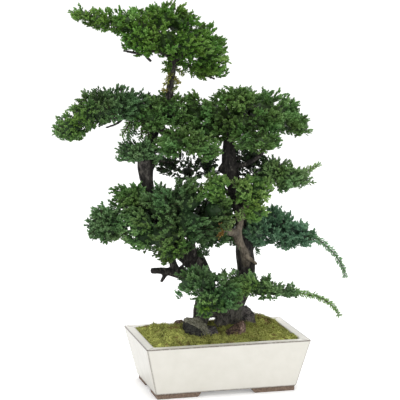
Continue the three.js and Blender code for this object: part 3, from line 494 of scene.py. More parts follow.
def joined(surfaces):
    """Points, triangles and marks of several surfaces as one."""
    offsets = np.cumsum([0] + [len(points) for points, _, _ in surfaces[:-1]])
    points = np.concatenate([points for points, _, _ in surfaces])
    faces = np.concatenate([faces + offset for (_, faces, _), offset in zip(surfaces, offsets)])
    marks = {key: np.concatenate([marks[key] for _, _, marks in surfaces]) for key in surfaces[0][2]}
    return points, faces, marks


def tube(points, steps, sides, relief=0.0):
    """A ring of corners round each place on a smooth path, at the path's radius there times one
    plus two slow waves round it, and a pole at each end."""
    path, radii = curve_through(points, steps)
    forward = unit(np.gradient(path, axis=0))
    across = np.eye(3)[np.argmin(np.abs(forward.mean(0)))]
    right = unit(np.cross(forward, across))
    over = np.cross(right, forward)
    around = np.linspace(0, 2 * np.pi, sides, endpoint=False)
    place = (np.arange(len(path)) / steps)[:, None]
    knobs = relief * (1.7 * np.sin(2 * around + 1.7 * place) + np.sin(3 * around - 2.3 * place))
    reach = (radii[:, None] * (1 + knobs))[..., None]
    rings = path[:, None] + reach * (np.cos(around)[:, None] * right[:, None]
                                     + np.sin(around)[:, None] * over[:, None])
    poles = [path[0] - END_BULGE * radii[0] * forward[0], path[-1] + END_BULGE * radii[-1] * forward[-1]]
    return np.vstack([rings.reshape(-1, 3), *poles]), closed_rings(len(path), sides)


# Pieces

def add_marks(mesh, marks):
    """Numbers for each point of a mesh, which its material reads by name."""
    for key, values in marks.items():
        mesh.attributes.new(key, "FLOAT", "POINT").data.foreach_set("value", values.astype(np.float32))


def new_object(name, points, faces, marks, smooth):
    """An object at the origin from points in millimetres and triangles."""
    mesh = bpy.data.meshes.new(name)
    mesh.vertices.add(len(points))
    mesh.vertices.foreach_set("co", ((points + POT_MIDDLE) * MM).astype(np.float32).ravel())
    mesh.loops.add(faces.size)
    mesh.loops.foreach_set("vertex_index", faces.astype(np.int32).ravel())
    mesh.polygons.add(len(faces))
    mesh.polygons.foreach_set("loop_start", np.arange(0, faces.size, 3, dtype=np.int32))
    mesh.update(calc_edges=True)
    add_marks(mesh, marks or {})
    mesh.polygons.foreach_set("use_smooth", np.full(len(faces), smooth))
    mesh.validate()
    made = bpy.data.objects.new(name, mesh)
    bpy.context.scene.collection.objects.link(made)
    return made


def make_piece(name, points, faces, material, replaced, marks=None, smooth=True):
    """A piece of the tree or its pot, which is shown in place of a solid."""
    piece = new_object(name, points, faces, marks, smooth)
    piece.data.materials.append(material)
    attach(piece, "root")
    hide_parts(replaced)
    return piece


def apply_modifiers(piece):
    """Works a piece's modifiers into its mesh."""
    bpy.context.view_layer.update()
    graph = bpy.context.evaluated_depsgraph_get()
    mesh = bpy.data.meshes.new_from_object(piece.evaluated_get(graph))
    piece.modifiers.clear()
    old = piece.data
    piece.data = mesh
    bpy.data.meshes.remove(old)
    mesh.name = piece.name


def mesh_points(piece):
    """A piece's points in the layout's millimetres, and their normals."""
    count = len(piece.data.vertices)
    places = np.empty(count * 3, np.float32)
    normals = np.empty(count * 3, np.float32)
    piece.data.vertices.foreach_get("co", places)
    piece.data.vertex_normals.foreach_get("vector", normals)
    return places.reshape(-1, 3) / MM - POT_MIDDLE, normals.reshape(-1, 3)


def move_points(piece, points):
    """Puts a piece's points at new places in the layout's millimetres."""
    piece.data.vertices.foreach_set("co", ((points + POT_MIDDLE) * MM).astype(np.float32).ravel())
    piece.data.update()


# Materials

def linear(red, green, blue):
    """A colour from its 0 to 255 display values."""
    shown = np.array([red, green, blue]) / 255
    light = np.where(shown <= 0.04045, shown / 12.92, ((shown + 0.055) / 1.055) ** 2.4)
    return (*light.tolist(), 1.0)


def add_node(tree, kind, inputs=None, **settings):
    """A node with its settings, and each input either linked or given a value."""
    made = tree.nodes.new(kind)
    for key, value in settings.items():
        setattr(made, key, value)
    for key, value in (inputs or {}).items():
        if isinstance(value, bpy.types.NodeSocket):
            tree.links.new(value, made.inputs[key])
        else:
            made.inputs[key].default_value = value
    return made


def attribute(tree, key):
    """What a node tree reads of a mark on the mesh."""
    return add_node(tree, "ShaderNodeAttribute", attribute_name=key).outputs["Fac"]


def mix_colours(tree, share, first, second):
    made = add_node(tree, "ShaderNodeMix", data_type="RGBA")
    for socket, value in zip((made.inputs[0], made.inputs[6], made.inputs[7]), (share, first, second)):
        if isinstance(value, bpy.types.NodeSocket):
            tree.links.new(value, socket)
        else:
            socket.default_value = value
    return made.outputs[2]


def remapped(tree, value, low, high, to_low=0.0, to_high=1.0):
    made = add_node(tree, "ShaderNodeMapRange", {
        "Value": value, "From Min": low, "From Max": high, "To Min": to_low, "To Max": to_high})
    return made.outputs["Result"]


def arithmetic(tree, operation, first, second):
    return add_node(tree, "ShaderNodeMath", {0: first, 1: second}, operation=operation).outputs[0]


def new_group(name, inputs, outputs):
    """An empty node group with named sockets, of colours where four numbers are given. Returns
    it, what its inputs give, and where its outputs go."""
    tree = bpy.data.node_groups.new(name, "ShaderNodeTree")
    for key, value in inputs.items():
        kind = "NodeSocketColor" if isinstance(value, tuple) else "NodeSocketFloat"
        tree.interface.new_socket(key, in_out="INPUT", socket_type=kind).default_value = value
    for key, kind in outputs.items():
        tree.interface.new_socket(key, in_out="OUTPUT", socket_type=kind)
    return tree, tree.nodes.new("NodeGroupInput").outputs, tree.nodes.new("NodeGroupOutput").inputs


def speckle_group():
    """Two sizes of cloudy noise in Object space, mixed into one mask from 0 to 1."""
    tree, given, result = new_group("speckle", {
        "Scale": 100.0, "Stretch": 1.0, "Fineness": 4.0, "Contrast": 2.0}, {"Mask": "NodeSocketFloat"})
    place = add_node(tree, "ShaderNodeTexCoord").outputs["Object"]
    stretch = add_node(tree, "ShaderNodeCombineXYZ", {"X": 1.0, "Y": 1.0, "Z": given["Stretch"]})
    place = add_node(tree, "ShaderNodeVectorMath", {0: place, 1: stretch.outputs[0]}, operation="MULTIPLY")
    broad = add_node(tree, "ShaderNodeTexNoise", {
        "Vector": place.outputs[0], "Scale": given["Scale"], "Detail": 3.0, "Roughness": 0.6})
    fine_scale = arithmetic(tree, "MULTIPLY", given["Scale"], given["Fineness"])
    fine = add_node(tree, "ShaderNodeTexNoise", {
        "Vector": place.outputs[0], "Scale": fine_scale, "Detail": 2.0, "Roughness": 0.6})
    both = arithmetic(tree, "ADD", broad.outputs["Fac"], fine.outputs["Fac"])
    spread = arithmetic(tree, "MULTIPLY", arithmetic(tree, "SUBTRACT", both, 1.0), given["Contrast"])
    mask = add_node(tree, "ShaderNodeMath", {0: spread, 1: 0.5}, operation="ADD", use_clamp=True)
    tree.links.new(mask.outputs[0], result["Mask"])
    return tree


def greens(colours):
    """The leaves' four greens by the names of their sockets."""
    return {key: linear(*colour) for key, colour in zip(("Root", "Green", "Tip", "Fresh"), colours)}


def needle_group():
    """Colour of a leafy shoot: dark at its root, painted shade in the gaps between shoots, green
    along it and light at its tip, shifted by each shoot's own tone, which also carries painted
    shade, and by how new its growth is, straw-coloured where it has dried, and brown where it is
    woody."""
    tree, given, result = new_group("needle_colour", {
        **greens(LEAF_COLOURS["juniper_green"]), "Dry": linear(178, 140, 76), "Wood": linear(66, 56, 46)},
        {"Colour": "NodeSocketColor"})
    growth, tone, fresh, dry, woody, drift = [
        attribute(tree, key) for key in ("growth", "tone", "fresh", "dry", "woody", "drift")]
    lower = mix_colours(tree, remapped(tree, growth, 0.1, 0.6), given["Root"], given["Green"])
    whole = mix_colours(tree, remapped(tree, growth, 0.6, 1.0), lower, given["Tip"])
    newer = mix_colours(tree, arithmetic(tree, "MULTIPLY", fresh, remapped(tree, growth, 0.2, 0.8)),
                        whole, given["Fresh"])
    toned = add_node(tree, "ShaderNodeHueSaturation", {
        "Hue": remapped(tree, drift, 0.2, 0.85, 0.484, 0.522),
        "Saturation": remapped(tree, tone, 0.2, 1.2, 1.06, 0.9),
        "Value": remapped(tree, tone, -0.4, 1.2, 0.35, 1.5), "Color": newer})
    dried = mix_colours(tree, dry, toned.outputs[0], given["Dry"])
    tree.links.new(mix_colours(tree, woody, dried, given["Wood"]), result["Colour"])
    return tree


def new_material(name, roughness, specular=0.5):
    material = bpy.data.materials.new(name)
    material.use_nodes = True
    shader = material.node_tree.nodes["Principled BSDF"]
    shader.inputs["Roughness"].default_value = roughness
    shader.inputs["Specular IOR Level"].default_value = specular
    return material, material.node_tree, shader


def use_group(tree, group, **values):
    made = tree.nodes.new("ShaderNodeGroup")
    made.node_tree = group
    for key, value in values.items():
        made.inputs[key].default_value = value
    return made


def add_bump(tree, shader, height, strength, distance):
    bump = add_node(tree, "ShaderNodeBump", {"Height": height, "Strength": strength, "Distance": distance})
    tree.links.new(bump.outputs["Normal"], shader.inputs["Normal"])


speckle = speckle_group()
needles = needle_group()


def clouds(tree, scale, fineness, contrast, stretch=1.0):
    """The speckle group's mask with these values."""
    made = use_group(tree, speckle, Scale=scale, Stretch=stretch, Fineness=fineness, Contrast=contrast)
    return made.outputs["Mask"]


def leaf_material(name, colours):
    """The leaves' colour group with one set of greens, over a fine grain."""
    material, tree, shader = new_material(name, 0.5, 0.35)
    leaf = use_group(tree, needles, **greens(colours))
    tree.links.new(leaf.outputs["Colour"], shader.inputs["Base Color"])
    add_bump(tree, shader, clouds(tree, 900.0, 2.0, 2.0), 0.4, 0.0006)
    return material


def bark_material():
    """Dark plates with dusty patches, lighter near the ground as painted light against the foliage's shadow,
    and pale on dead wood.
    """
    material, tree, shader = new_material("juniper_bark", 0.85, 0.25)
    plates = clouds(tree, 90.0, 3.5, 2.2, 0.3)
    dust = clouds(tree, 26.0, 5.0, 2.0, 0.6)
    pale = attribute(tree, "pale")
    painted_foot_light = attribute(tree, "painted_foot_light")
    dark = mix_colours(tree, plates, linear(14, 14, 15), linear(62, 59, 56))
    # Painted light: lighter bark colours towards the ground, against the shadow that the foliage casts there
    foot = mix_colours(tree, plates, linear(28, 27, 26), linear(112, 109, 101))
    whole = mix_colours(tree, painted_foot_light, dark, foot)
    dusty = mix_colours(tree, remapped(tree, dust, 0.55, 0.95, 0.0, 0.6), whole, linear(122, 117, 110))
    light = mix_colours(tree, plates, linear(84, 76, 66), linear(142, 132, 116))
    tree.links.new(mix_colours(tree, pale, dusty, light), shader.inputs["Base Color"])
    add_bump(tree, shader, plates, 0.8, 0.003)
    return material


def glaze_material():
    """White glaze that thins to a grey-brown line over sharp edges, and bare clay on the feet."""
    material, tree, shader = new_material("white_glaze", 0.2)
    edge = attribute(tree, "edge")
    clay = attribute(tree, "clay")
    cloud = clouds(tree, 9.0, 4.0, 1.5)
    grain = clouds(tree, 260.0, 3.0, 2.0)
    white = mix_colours(tree, cloud, linear(231, 228, 218), linear(237, 234, 225))
    thin = arithmetic(tree, "MULTIPLY", edge, remapped(tree, grain, 0.1, 0.6, 0.55, 1.0))
    lined = mix_colours(tree, thin, white, linear(112, 102, 94))
    bare = mix_colours(tree, grain, linear(104, 84, 72), linear(158, 138, 120))
    tree.links.new(mix_colours(tree, clay, lined, bare), shader.inputs["Base Color"])
    tree.links.new(remapped(tree, clay, 0.0, 1.0, 0.18, 0.85), shader.inputs["Roughness"])
    rough = arithmetic(tree, "MULTIPLY", grain, clay)
    waves = arithmetic(tree, "ADD", rough, arithmetic(tree, "MULTIPLY", cloud, 0.6))
    add_bump(tree, shader, waves, 0.5, 0.0012)
    return material


def moss_material():
    """Green that grows lighter towards the stalks' tips and with the painted shade and light that
    the growth mark carries, brown in patches, with dark specks.
    """
    material, tree, shader = new_material("moss", 0.9, 0.2)
    growth = attribute(tree, "growth")
    patch = clouds(tree, 22.0, 3.0, 2.4)
    grain = clouds(tree, 260.0, 3.0, 2.4)
    green = mix_colours(tree, growth, linear(40, 42, 18), linear(236, 242, 132))
    brown = mix_colours(tree, growth, linear(48, 36, 22), linear(200, 172, 112))
    patchy = mix_colours(tree, remapped(tree, patch, 0.7, 1.0), green, brown)
    varied = mix_colours(tree, remapped(tree, grain, 0.0, 0.5, 0.6, 0.0), patchy, linear(38, 38, 20))
    tree.links.new(varied, shader.inputs["Base Color"])
    add_bump(tree, shader, grain, 0.7, 0.0015)
    return material


def plain_material(name, roughness, first, second, scale, relief):
    """A rough material of two colours mixed by cloudy noise, with relief from the same noise."""
    material, tree, shader = new_material(name, roughness, 0.3)
    cloud = clouds(tree, scale, 4.0, 2.2)
    colour = mix_colours(tree, cloud, first, second)
    tree.links.new(colour, shader.inputs["Base Color"])
    add_bump(tree, shader, cloud, 0.7, relief)
    return material


def stone_material(name, dark, light, dark_top, light_top):
    """Rough stone of two colours mixed by cloudy noise, with a lighter side of two lighter ones."""
    material, tree, shader = new_material(name, 0.85, 0.3)
    lighter_side = attribute(tree, "lighter_side")
    cloud = clouds(tree, 70.0, 4.0, 2.4)
    sides = mix_colours(tree, cloud, dark, light)
    top = mix_colours(tree, cloud, dark_top, light_top)
    tree.links.new(mix_colours(tree, lighter_side, sides, top), shader.inputs["Base Color"])
    add_bump(tree, shader, cloud, 0.9, 0.004)
    return material


# Leafy shoots. Each is a slim three-sided spindle, thickest at its belly.

SHOOT_BELLY = 0.6
SHOOT_RADIUS = 2.0


def shoot_form():
    """One shoot of length 1 and radius 1 along z: points at its root and its tip, and a ring of
    three between them."""
    around = np.arange(3) * 2 * np.pi / 3
    ring = np.column_stack([np.cos(around), np.sin(around), np.full(3, SHOOT_BELLY)])
    points = np.vstack([ring, [[0, 0, 1], [0, 0, 0]]])
    faces = np.vstack([cap_faces(0, 3, 3), cap_faces(0, 3, 4)[:, ::-1]])
    return points, faces


SHOOT_POINTS, SHOOT_FACES = shoot_form()


def leaf_marks(places, growth, tone, fresh=0.0, dry=0.0, woody=0.0):
    """What the leaves' colour reads at each point: how far out on its spray it lies, the shoot's
    tone, freshness, dryness and woodiness, and a slow drift of hue over the tree."""
    none = np.zeros(len(growth))
    return {"growth": growth, "tone": none + tone, "fresh": none + fresh, "dry": none + dry,
            "woody": none + woody, "drift": 0.7 * noise(places, 42, 51) + 0.3 * noise(places, 16, 52)}


def shoots_at(roots, headings, lengths, radii, growth, tones, fresh=0.0, dry=0.0):
    """Copies of the shoot's form, each turned so that its length lies along its heading. Growth is
    given for a shoot's root and its tip."""
    count = len(roots)
    headings = unit(headings)
    helper = np.where(np.abs(headings[:, 2:]) < 0.9, UP, [1.0, 0.0, 0.0])
    right = unit(np.cross(helper, headings))
    over = np.cross(headings, right)
    spin = random.uniform(0, 2 * np.pi, count)[:, None]
    turned_right = np.cos(spin) * right + np.sin(spin) * over
    turned_over = np.cos(spin) * over - np.sin(spin) * right
    x, y, z = SHOOT_POINTS.T
    points = (roots[:, None]
              + (radii[:, None] * x)[..., None] * turned_right[:, None]
              + (radii[:, None] * y)[..., None] * turned_over[:, None]
              + (lengths[:, None] * z)[..., None] * headings[:, None])
    each = len(SHOOT_POINTS)
    faces = SHOOT_FACES[None] + np.arange(count)[:, None, None] * each
    points = points.reshape(-1, 3)
    marks = leaf_marks(points, growth[0] + (growth[1] - growth[0]) * np.tile(z, count),
                       np.repeat(tones, each), np.repeat(np.broadcast_to(fresh, count), each), dry)
    return points, faces.reshape(-1, 3), marks


def ball_directions(count):
    """Directions spread evenly over a ball: heights in equal steps, each turned by the golden angle."""
    up = 1 - (2 * np.arange(count) + 1) / count
    turn = np.arange(count) * GOLDEN_ANGLE
    level = np.sqrt(1 - up**2)
    return np.column_stack([level * np.cos(turn), level * np.sin(turn), up])


def ellipsoid_area(half):
    """Close to the true area: 4 pi times the mean of the products of each two half sizes, taken
    to a power and back."""
    power = 1.6
    return 4 * np.pi * ((half[[0, 0, 1]] * half[[1, 2, 2]]) ** power).mean() ** (1 / power)


# How pads are shaped: how sharply lumps that touch stay apart, and how the surface rises in lobes
MELT = 5.0
HALVINGS = 14
RAY_SURPLUS = 1.15
RAY_SCATTER = 0.06
RAY_START = 0.3
RAY_END = 2.2
LOBE_SPACING = 34
LOBE_SCATTER = 0.2
LOBE_LEVELS = (-6, 5)
LOBE_TONES = 0.13
LOBE_RISE = 13
LOBE_DEPTH = 22
LOBE_EDGE = 0.62
DOME_LEVEL = 0.6
CLEFT_START = 0.42
CLEFT_WIDTH = 0.3
RAGGED = 5
UNDERSIDE_SINK = 5
UNDERSIDE_START = 0.35
UNDERSIDE_FADE = 0.5

# How sprays cover a pad: how far apart they end, and how they look by kind
SPRAY_SPACING = 12.5
AIRY_SPRAY_SPACING = 16.25
STRANGER_DEPTH = 0.8
UNDERSIDE = -0.6
UNDERSIDE_GAPS = 0.35
CLEARING_MARGIN = 12
SPRAY_DRIFT = 0.45
SPRAY_LIFT = 0.3
SPRAY_SCATTER = 0.2
FLAT_SHARE = 0.4
FLAT_REACH = 12
FINGER_SHARE = 0.06
FINGER_REACH = (2, 12)
FINGER_LIGHT = 0.05
UNDERGROWTH_SPACING = 15
UNDERGROWTH_DEPTH = 13
FULL_SPRAY = {"length": 21, "splay": 0.8, "flatness": 0.7}
FLAT_SPRAY = {"length": 30, "splay": 0.75, "flatness": 0.2}
FINGER_SPRAY = {"length": 38, "splay": 0.9, "flatness": 0.6, "shoots": 20, "share": 0.22, "curl": 0.2}
LOW_SPRAY = {"length": 16, "splay": 0.9, "flatness": 0.7, "shoots": 7, "share": 0.5}
MEAN_TONE = 0.62
TONE_SCATTER = 0.1
SHOOT_SCATTER = 0.25
# Painted shade: how much darker the sprays are in the clefts and in the shaded patches
CLEFT_SHADE = 0.45
PATCH_SHADE = 0.8
TWIG_RADIUS = 1.0
TWIG_START = 0.3
CORE_SHARE = 0.58
AIRY_CORE_SHARE = 0.35
CORE_RINGS = 9
CORE_SIDES = 14
TAIL_STEPS = 40
TAIL_SHOOT_SPACING = 0.9
TAIL_SHORTEST = 5
TAIL_GROWTH = 1.3
TAIL_TONE_SCATTER = 0.12
TAIL_STEM = 0.3
TAIL_TONE = 0.75
TAIL_FRESHNESS = 0.4


def lump_depths(points, lumps):
    """How far out each point lies in each lump, as a share of the lump's half sizes there."""
    lumps = np.array(lumps, float)
    return np.linalg.norm((points[:, None] - lumps[None, :, :3]) / lumps[None, :, 3:], axis=2)


def pad_depth(points, lumps):
    """The lumps' depths melted into one, which fills the creases between them."""
    return -np.log(np.exp(-MELT * lump_depths(points, lumps)).sum(1)) / MELT


def pad_outward(points, lumps):
    """Directions out of the pad: each lump's own, weighed by how near the lump is."""
    table = np.array(lumps, float)
    away = (points[:, None] - table[None, :, :3]) / table[None, :, 3:] ** 2
    depths = lump_depths(points, lumps)
    weights = np.exp(-MELT * depths) / np.maximum(depths, 0.05)
    return unit((weights[..., None] * away).sum(1))


def pad_surface(lumps, spacing):
    """Even places over the melted surface of a pad, with their outward directions. From each
    lump's middle a ray goes out in each of many even directions. Halving finds where it leaves
    the melted pad, and a place counts only for the lump that it lies nearest to."""
    places = []
    for i, lump in enumerate(lumps):
        middle = np.array(lump[:3], float)
        half = np.array(lump[3:], float)
        count = round(RAY_SURPLUS * ellipsoid_area(half) / spacing**2)
        rays = unit(ball_directions(count) + random.normal(0, RAY_SCATTER, (count, 3))) * half
        near = np.full(count, RAY_START)
        far = np.full(count, RAY_END)
        for _ in range(HALVINGS):
            half_way = (near + far) / 2
            inside = pad_depth(middle + rays * half_way[:, None], lumps) < 1
            near = np.where(inside, half_way, near)
            far = np.where(inside, far, half_way)
        ends = middle + rays * near[:, None]
        places.append(ends[np.argmin(lump_depths(ends, lumps), axis=1) == i])
    places = np.vstack(places)
    return places, pad_outward(places, lumps)


def lobed(places, outward, lumps):
    """Gathers a pad's surface into lobes. Each place belongs to the nearest of some scattered
    seats, swells out over it as a dome and sinks into a cleft away from it. Returns the places,
    their directions away from the roots of their lobes, how deep in a cleft each lies, from 0 to
    1, and each lobe's own tone."""
    seats, facing = pad_surface(lumps, LOBE_SPACING)
    seats = seats + random.normal(0, LOBE_SCATTER * LOBE_SPACING, seats.shape)
    rise = random.uniform(*LOBE_LEVELS, len(seats))
    tones = random.normal(0, LOBE_TONES, len(seats))
    distances = np.linalg.norm(places[:, None] - seats[None], axis=2)
    own = np.argmin(distances, axis=1)
    spread = distances[np.arange(len(places)), own] / LOBE_SPACING
    cleft = np.clip((spread - CLEFT_START) / CLEFT_WIDTH, 0, 1)
    under = np.clip((-outward[:, 2] - UNDERSIDE_START) / UNDERSIDE_FADE, 0, 1)
    dome = LOBE_RISE * (DOME_LEVEL - (spread / LOBE_EDGE) ** 2) * (1 - 0.6 * under)
    ragged = RAGGED * (noise(places, 9, 40) - 0.5)
    height = dome + rise[own] + ragged - UNDERSIDE_SINK * under
    roots = seats[own] - LOBE_DEPTH * facing[own]
    return places + outward * height[:, None], unit(places - roots), cleft, tones[own]


def strength_at(points, patches):
    """The strongest of the patches at each point, each falling off with distance as a bell curve."""
    return np.max([strength * np.exp(-((np.linalg.norm(points - [x, y, z], axis=1) / reach) ** 2))
                   for x, y, z, reach, strength in patches], axis=0)


def cleared(points):
    """Which points lie in a clearing: in its ellipse where the line of sight through them meets
    y = 0, and between its nearest and furthest y."""
    x = points[:, 0] - SIGHT_SLOPE_X * points[:, 1]
    z = points[:, 2] - SIGHT_SLOPE_Z * points[:, 1]
    inside = np.zeros(len(points), bool)
    for at_x, at_z, width, height, nearest, furthest in CLEARINGS:
        ring = ((x - at_x) / width) ** 2 + ((z - at_z) / height) ** 2
        inside |= (ring < 1) & (points[:, 1] > nearest) & (points[:, 1] < furthest)
    return inside


def spray_looks(places, cleft):
    """Each spray's tone and freshness: broad drifts of lighter and darker growth, painted shade in
    the clefts and in the shaded patches, the fresh patches, and its own difference."""
    drift = 0.5 * (noise(places, 55, 31) - 0.5) + 0.3 * (noise(places, 21, 32) - 0.5)
    tone = MEAN_TONE + drift - CLEFT_SHADE * cleft - PATCH_SHADE * strength_at(places, PAINTED_SHADE_PATCHES)
    return tone + random.normal(0, TONE_SCATTER, len(places)), strength_at(places, FRESH_PATCHES)


def sprays(places, axis, tone, fresh, length, splay, flatness, shoots=13, share=0.4, curl=0.0):
    """Sprays that end at the given places. Their shoots leave the middle stem one above another,
    each turned by the golden angle, shorter and closer to the stem towards its tip. A low
    flatness draws the whole spray into a fan, and the curl bends its stem upwards."""
    count = len(places)
    lengths = length * random.uniform(0.8, 1.2, count)
    roots = places - (axis + curl * UP) * lengths[:, None]
    broad = unit(np.cross(axis, random.normal(0, 1, axis.shape)))
    narrow = np.cross(axis, broad)
    surfaces = []
    for i in range(shoots):
        rank = i / (shoots - 1)
        turn = i * GOLDEN_ANGLE + random.uniform(-0.4, 0.4, count)[:, None]
        side = np.cos(turn) * broad + flatness * np.sin(turn) * narrow
        lean = splay * (1 - 0.5 * rank) if rank < 1 else 0
        along = 0.1 + (0.9 - 0.76 * share) * rank
        start = roots + (axis + curl * along * UP) * (lengths * along)[:, None]
        reach = lengths * share * (1 - 0.24 * rank) * random.uniform(0.85, 1.15, count)
        tones = tone + random.normal(0, TONE_SCATTER, count)
        radii = SHOOT_RADIUS * random.uniform(0.8, 1.2, count)
        heading = axis + 2 * curl * along * UP + lean * side + random.normal(0, SHOOT_SCATTER, axis.shape)
        growth = (0.45 * rank, 0.75 + 0.25 * rank)
        surfaces.append(shoots_at(start, heading, reach, radii, growth, tones, fresh))
    return surfaces


def sticks(starts, ends, radius):
    """Thin three-sided twigs from each start to its end, thinner there, closed at both."""
    count = len(starts)
    along = ends - starts
    right = unit(np.cross(along, UP + 0.01))
    over = unit(np.cross(along, right))
    around = np.arange(3) * 2 * np.pi / 3
    ring = radius * (np.cos(around)[:, None] * right[:, None] + np.sin(around)[:, None] * over[:, None])
    points = np.concatenate([starts[:, None] + ring, ends[:, None] + 0.6 * ring], axis=1)
    corners = np.vstack([grid_faces(2, 3, True), [[0, 2, 1], [3, 4, 5]]])
    faces = corners[None] + np.arange(count)[:, None, None] * 6
    points = points.reshape(-1, 3)
    return points, faces.reshape(-1, 3), leaf_marks(points, np.zeros(len(points)), 0.5, woody=1.0)


def lump_core(lump, share):
    """The dark heart of a lump, painted shade deep inside the pad: a ball scaled to a share of the
    lump, with each point moved in or out by noise."""
    ball, faces = ball_grid(CORE_RINGS, CORE_SIDES)
    middle = np.array(lump[:3], float)
    half = np.array(lump[3:], float) * share
    bumps = 0.8 + 0.4 * noise(middle + ball * half, 14, 3)
    points = middle + ball * half * bumps[:, None]
    return points, faces, leaf_marks(points, np.zeros(len(points)), 0.2)


def tail(points, tone, fresh=0.0, dry=0.0):
    """A tail or sprig: a thin woody stem with shoots all along it that leave it on every side,
    turned by the golden angle, as long as the stem's radius says."""
    path, radii = curve_through(points, TAIL_STEPS)
    run = np.concatenate([[0], np.cumsum(np.linalg.norm(np.diff(path, axis=0), axis=1))])
    count = round(run[-1] / TAIL_SHOOT_SPACING)
    at = np.linspace(0, run[-1], count)
    roots = np.column_stack([np.interp(at, run, path[:, k]) for k in range(3)])
    radii = np.interp(at, run, radii)
    forward = unit(np.gradient(roots, axis=0))
    turn = np.arange(count) * GOLDEN_ANGLE + random.uniform(0, 0.6, count)
    right = unit(np.cross(forward, [0.0, 1.0, 0.2]))
    over = np.cross(forward, right)
    side = np.cos(turn)[:, None] * right + np.sin(turn)[:, None] * over
    heading = 0.8 * forward + side + 0.15 * UP
    lengths = (TAIL_SHORTEST + TAIL_GROWTH * radii) * random.uniform(0.6, 1.3, count)
    tones = random.normal(tone, TAIL_TONE_SCATTER, count)
    shoots = shoots_at(roots, heading, lengths, np.full(count, SHOOT_RADIUS), (0.3, 1.0), tones, fresh, dry)
    stem, faces = tube([(x, y, z, TAIL_STEM * radius) for x, y, z, radius in points], 6, 6)
    return [shoots, (stem, faces, leaf_marks(stem, np.zeros(len(stem)), 0.5, woody=1.0))]


def flow_along(places, outward, lumps):
    """Directions along the surface, away from the pad's middle, in which its growth runs."""
    middle = np.average([lump[:3] for lump in lumps], axis=0, weights=[lump[3] for lump in lumps])
    away = (places - middle) * [1.0, 1.0, 0.3]
    return unit(away - (away * outward).sum(1)[:, None] * outward)


def outer_sprays(lumps, strangers, airy, pad_tone):
    """Round, flat and long sprays all over a pad's lobed surface, fewer on its underside and none
    in a clearing or inside another pad, and the twigs that carry the flat ones."""
    places, outward = pad_surface(lumps, AIRY_SPRAY_SPACING if airy else SPRAY_SPACING)
    kept = lump_depths(places, strangers).min(1) > STRANGER_DEPTH
    kept &= ~((outward[:, 2] < UNDERSIDE) & (random.random(len(places)) < UNDERSIDE_GAPS))
    places, outward = places[kept], outward[kept]
    flow = flow_along(places, outward, lumps)
    places, away, cleft, lobe_tone = lobed(places, outward, lumps)
    kept = ~(cleared(places) | cleared(places - CLEARING_MARGIN * away))
    places, outward, flow, away, cleft, lobe_tone = [
        values[kept] for values in (places, outward, flow, away, cleft, lobe_tone)]
    axis = unit(away + SPRAY_DRIFT * flow + SPRAY_LIFT * UP + random.normal(0, SPRAY_SCATTER, outward.shape))
    tone, fresh = spray_looks(places, cleft)
    tone = tone + lobe_tone + pad_tone

    crest = cleft < 0.5
    flat = (random.random(len(places)) < FLAT_SHARE) & (outward[:, 2] > -0.5) & crest
    full = ~flat
    surfaces = sprays(places[full], axis[full], tone[full], fresh[full], **FULL_SPRAY)
    reach = random.uniform(0, FLAT_REACH, flat.sum())[:, None]
    surfaces += sprays(places[flat] + reach * axis[flat], axis[flat], tone[flat], fresh[flat], **FLAT_SPRAY)
    long = (random.random(len(places)) < FINGER_SHARE) & (outward[:, 2] > -0.3) & crest
    finger = unit(axis[long] + 0.3 * flow[long])
    tips = places[long] + random.uniform(*FINGER_REACH, long.sum())[:, None] * finger
    surfaces += sprays(tips, finger, tone[long] + FINGER_LIGHT, fresh[long], **FINGER_SPRAY)

    middles = np.array([lump[:3] for lump in lumps], float)
    inner = middles[np.argmin(lump_depths(places, lumps), axis=1)]
    starts = inner + TWIG_START * (places - inner)
    surfaces.append(sticks(starts[flat], places[flat], TWIG_RADIUS))
    return surfaces


def undergrowth(lumps, strangers, pad_tone):
    """Short sprays under a pad's surface, which hide its hearts, darkened all over as painted shade."""
    places, facing = pad_surface(lumps, UNDERGROWTH_SPACING)
    depth = UNDERGROWTH_DEPTH * random.uniform(0.5, 1.2, len(places))
    places = places - facing * depth[:, None]
    kept = (lump_depths(places, strangers).min(1) > STRANGER_DEPTH) & ~cleared(places)
    places, facing = places[kept], facing[kept]
    flow = flow_along(places, facing, lumps)
    heading = unit(facing + 0.5 * flow + random.normal(0, 0.5, facing.shape))
    # Painted shade: the undergrowth is darkened as if deep in a cleft
    tone, fresh = spray_looks(places, 1.0)
    return sprays(places, heading, tone + pad_tone, 0.5 * fresh, **LOW_SPRAY)


def make_pad(name):
    """A foliage pad: its sprays, the undergrowth, a dark heart of painted shade in each lump, and its
    tails and sprigs."""
    lumps = PADS[name]
    airy = name in AIRY_PADS
    strangers = [lump for other, lumps_there in PADS.items() if other != name for lump in lumps_there]
    pad_tone = PAD_TONES.get(name, 0)
    surfaces = outer_sprays(lumps, strangers, airy, pad_tone)
    if not airy:
        surfaces += undergrowth(lumps, strangers, pad_tone)
    surfaces += [lump_core(lump, AIRY_CORE_SHARE if airy else CORE_SHARE) for lump in lumps]
    for points in TAILS.get(name, []):
        surfaces += tail(points, TAIL_TONE, TAIL_FRESHNESS)
    for points, tone, dry in SPRIGS.get(name, []):
        surfaces += tail(points, tone, 0.0, dry)
    points, faces, marks = joined(surfaces)
    make_piece(f"leaves_{name}", points, faces, leaves[PAD_LEAVES.get(name, "juniper_green")],
               f"foliage_{name}", marks, smooth=False)


# Wood

WOOD_VOXEL = 2.8
RELIEF = 0.06
FURROW_CELL = (5.5, 5.5, 34)
FURROW_DEPTH = 2.66
FURROW_LEVEL = 0.62
FURROW_WANDER = 14
FURROW_WANDER_CELL = 60
KNOT_CELL = 24
KNOT_HEIGHT = 2.4
PALE_REACH = 14
PALE_FADE = 5
PALE_FRONT = -12
PALE_FRONT_FADE = 6
LIMB_REACH = 24
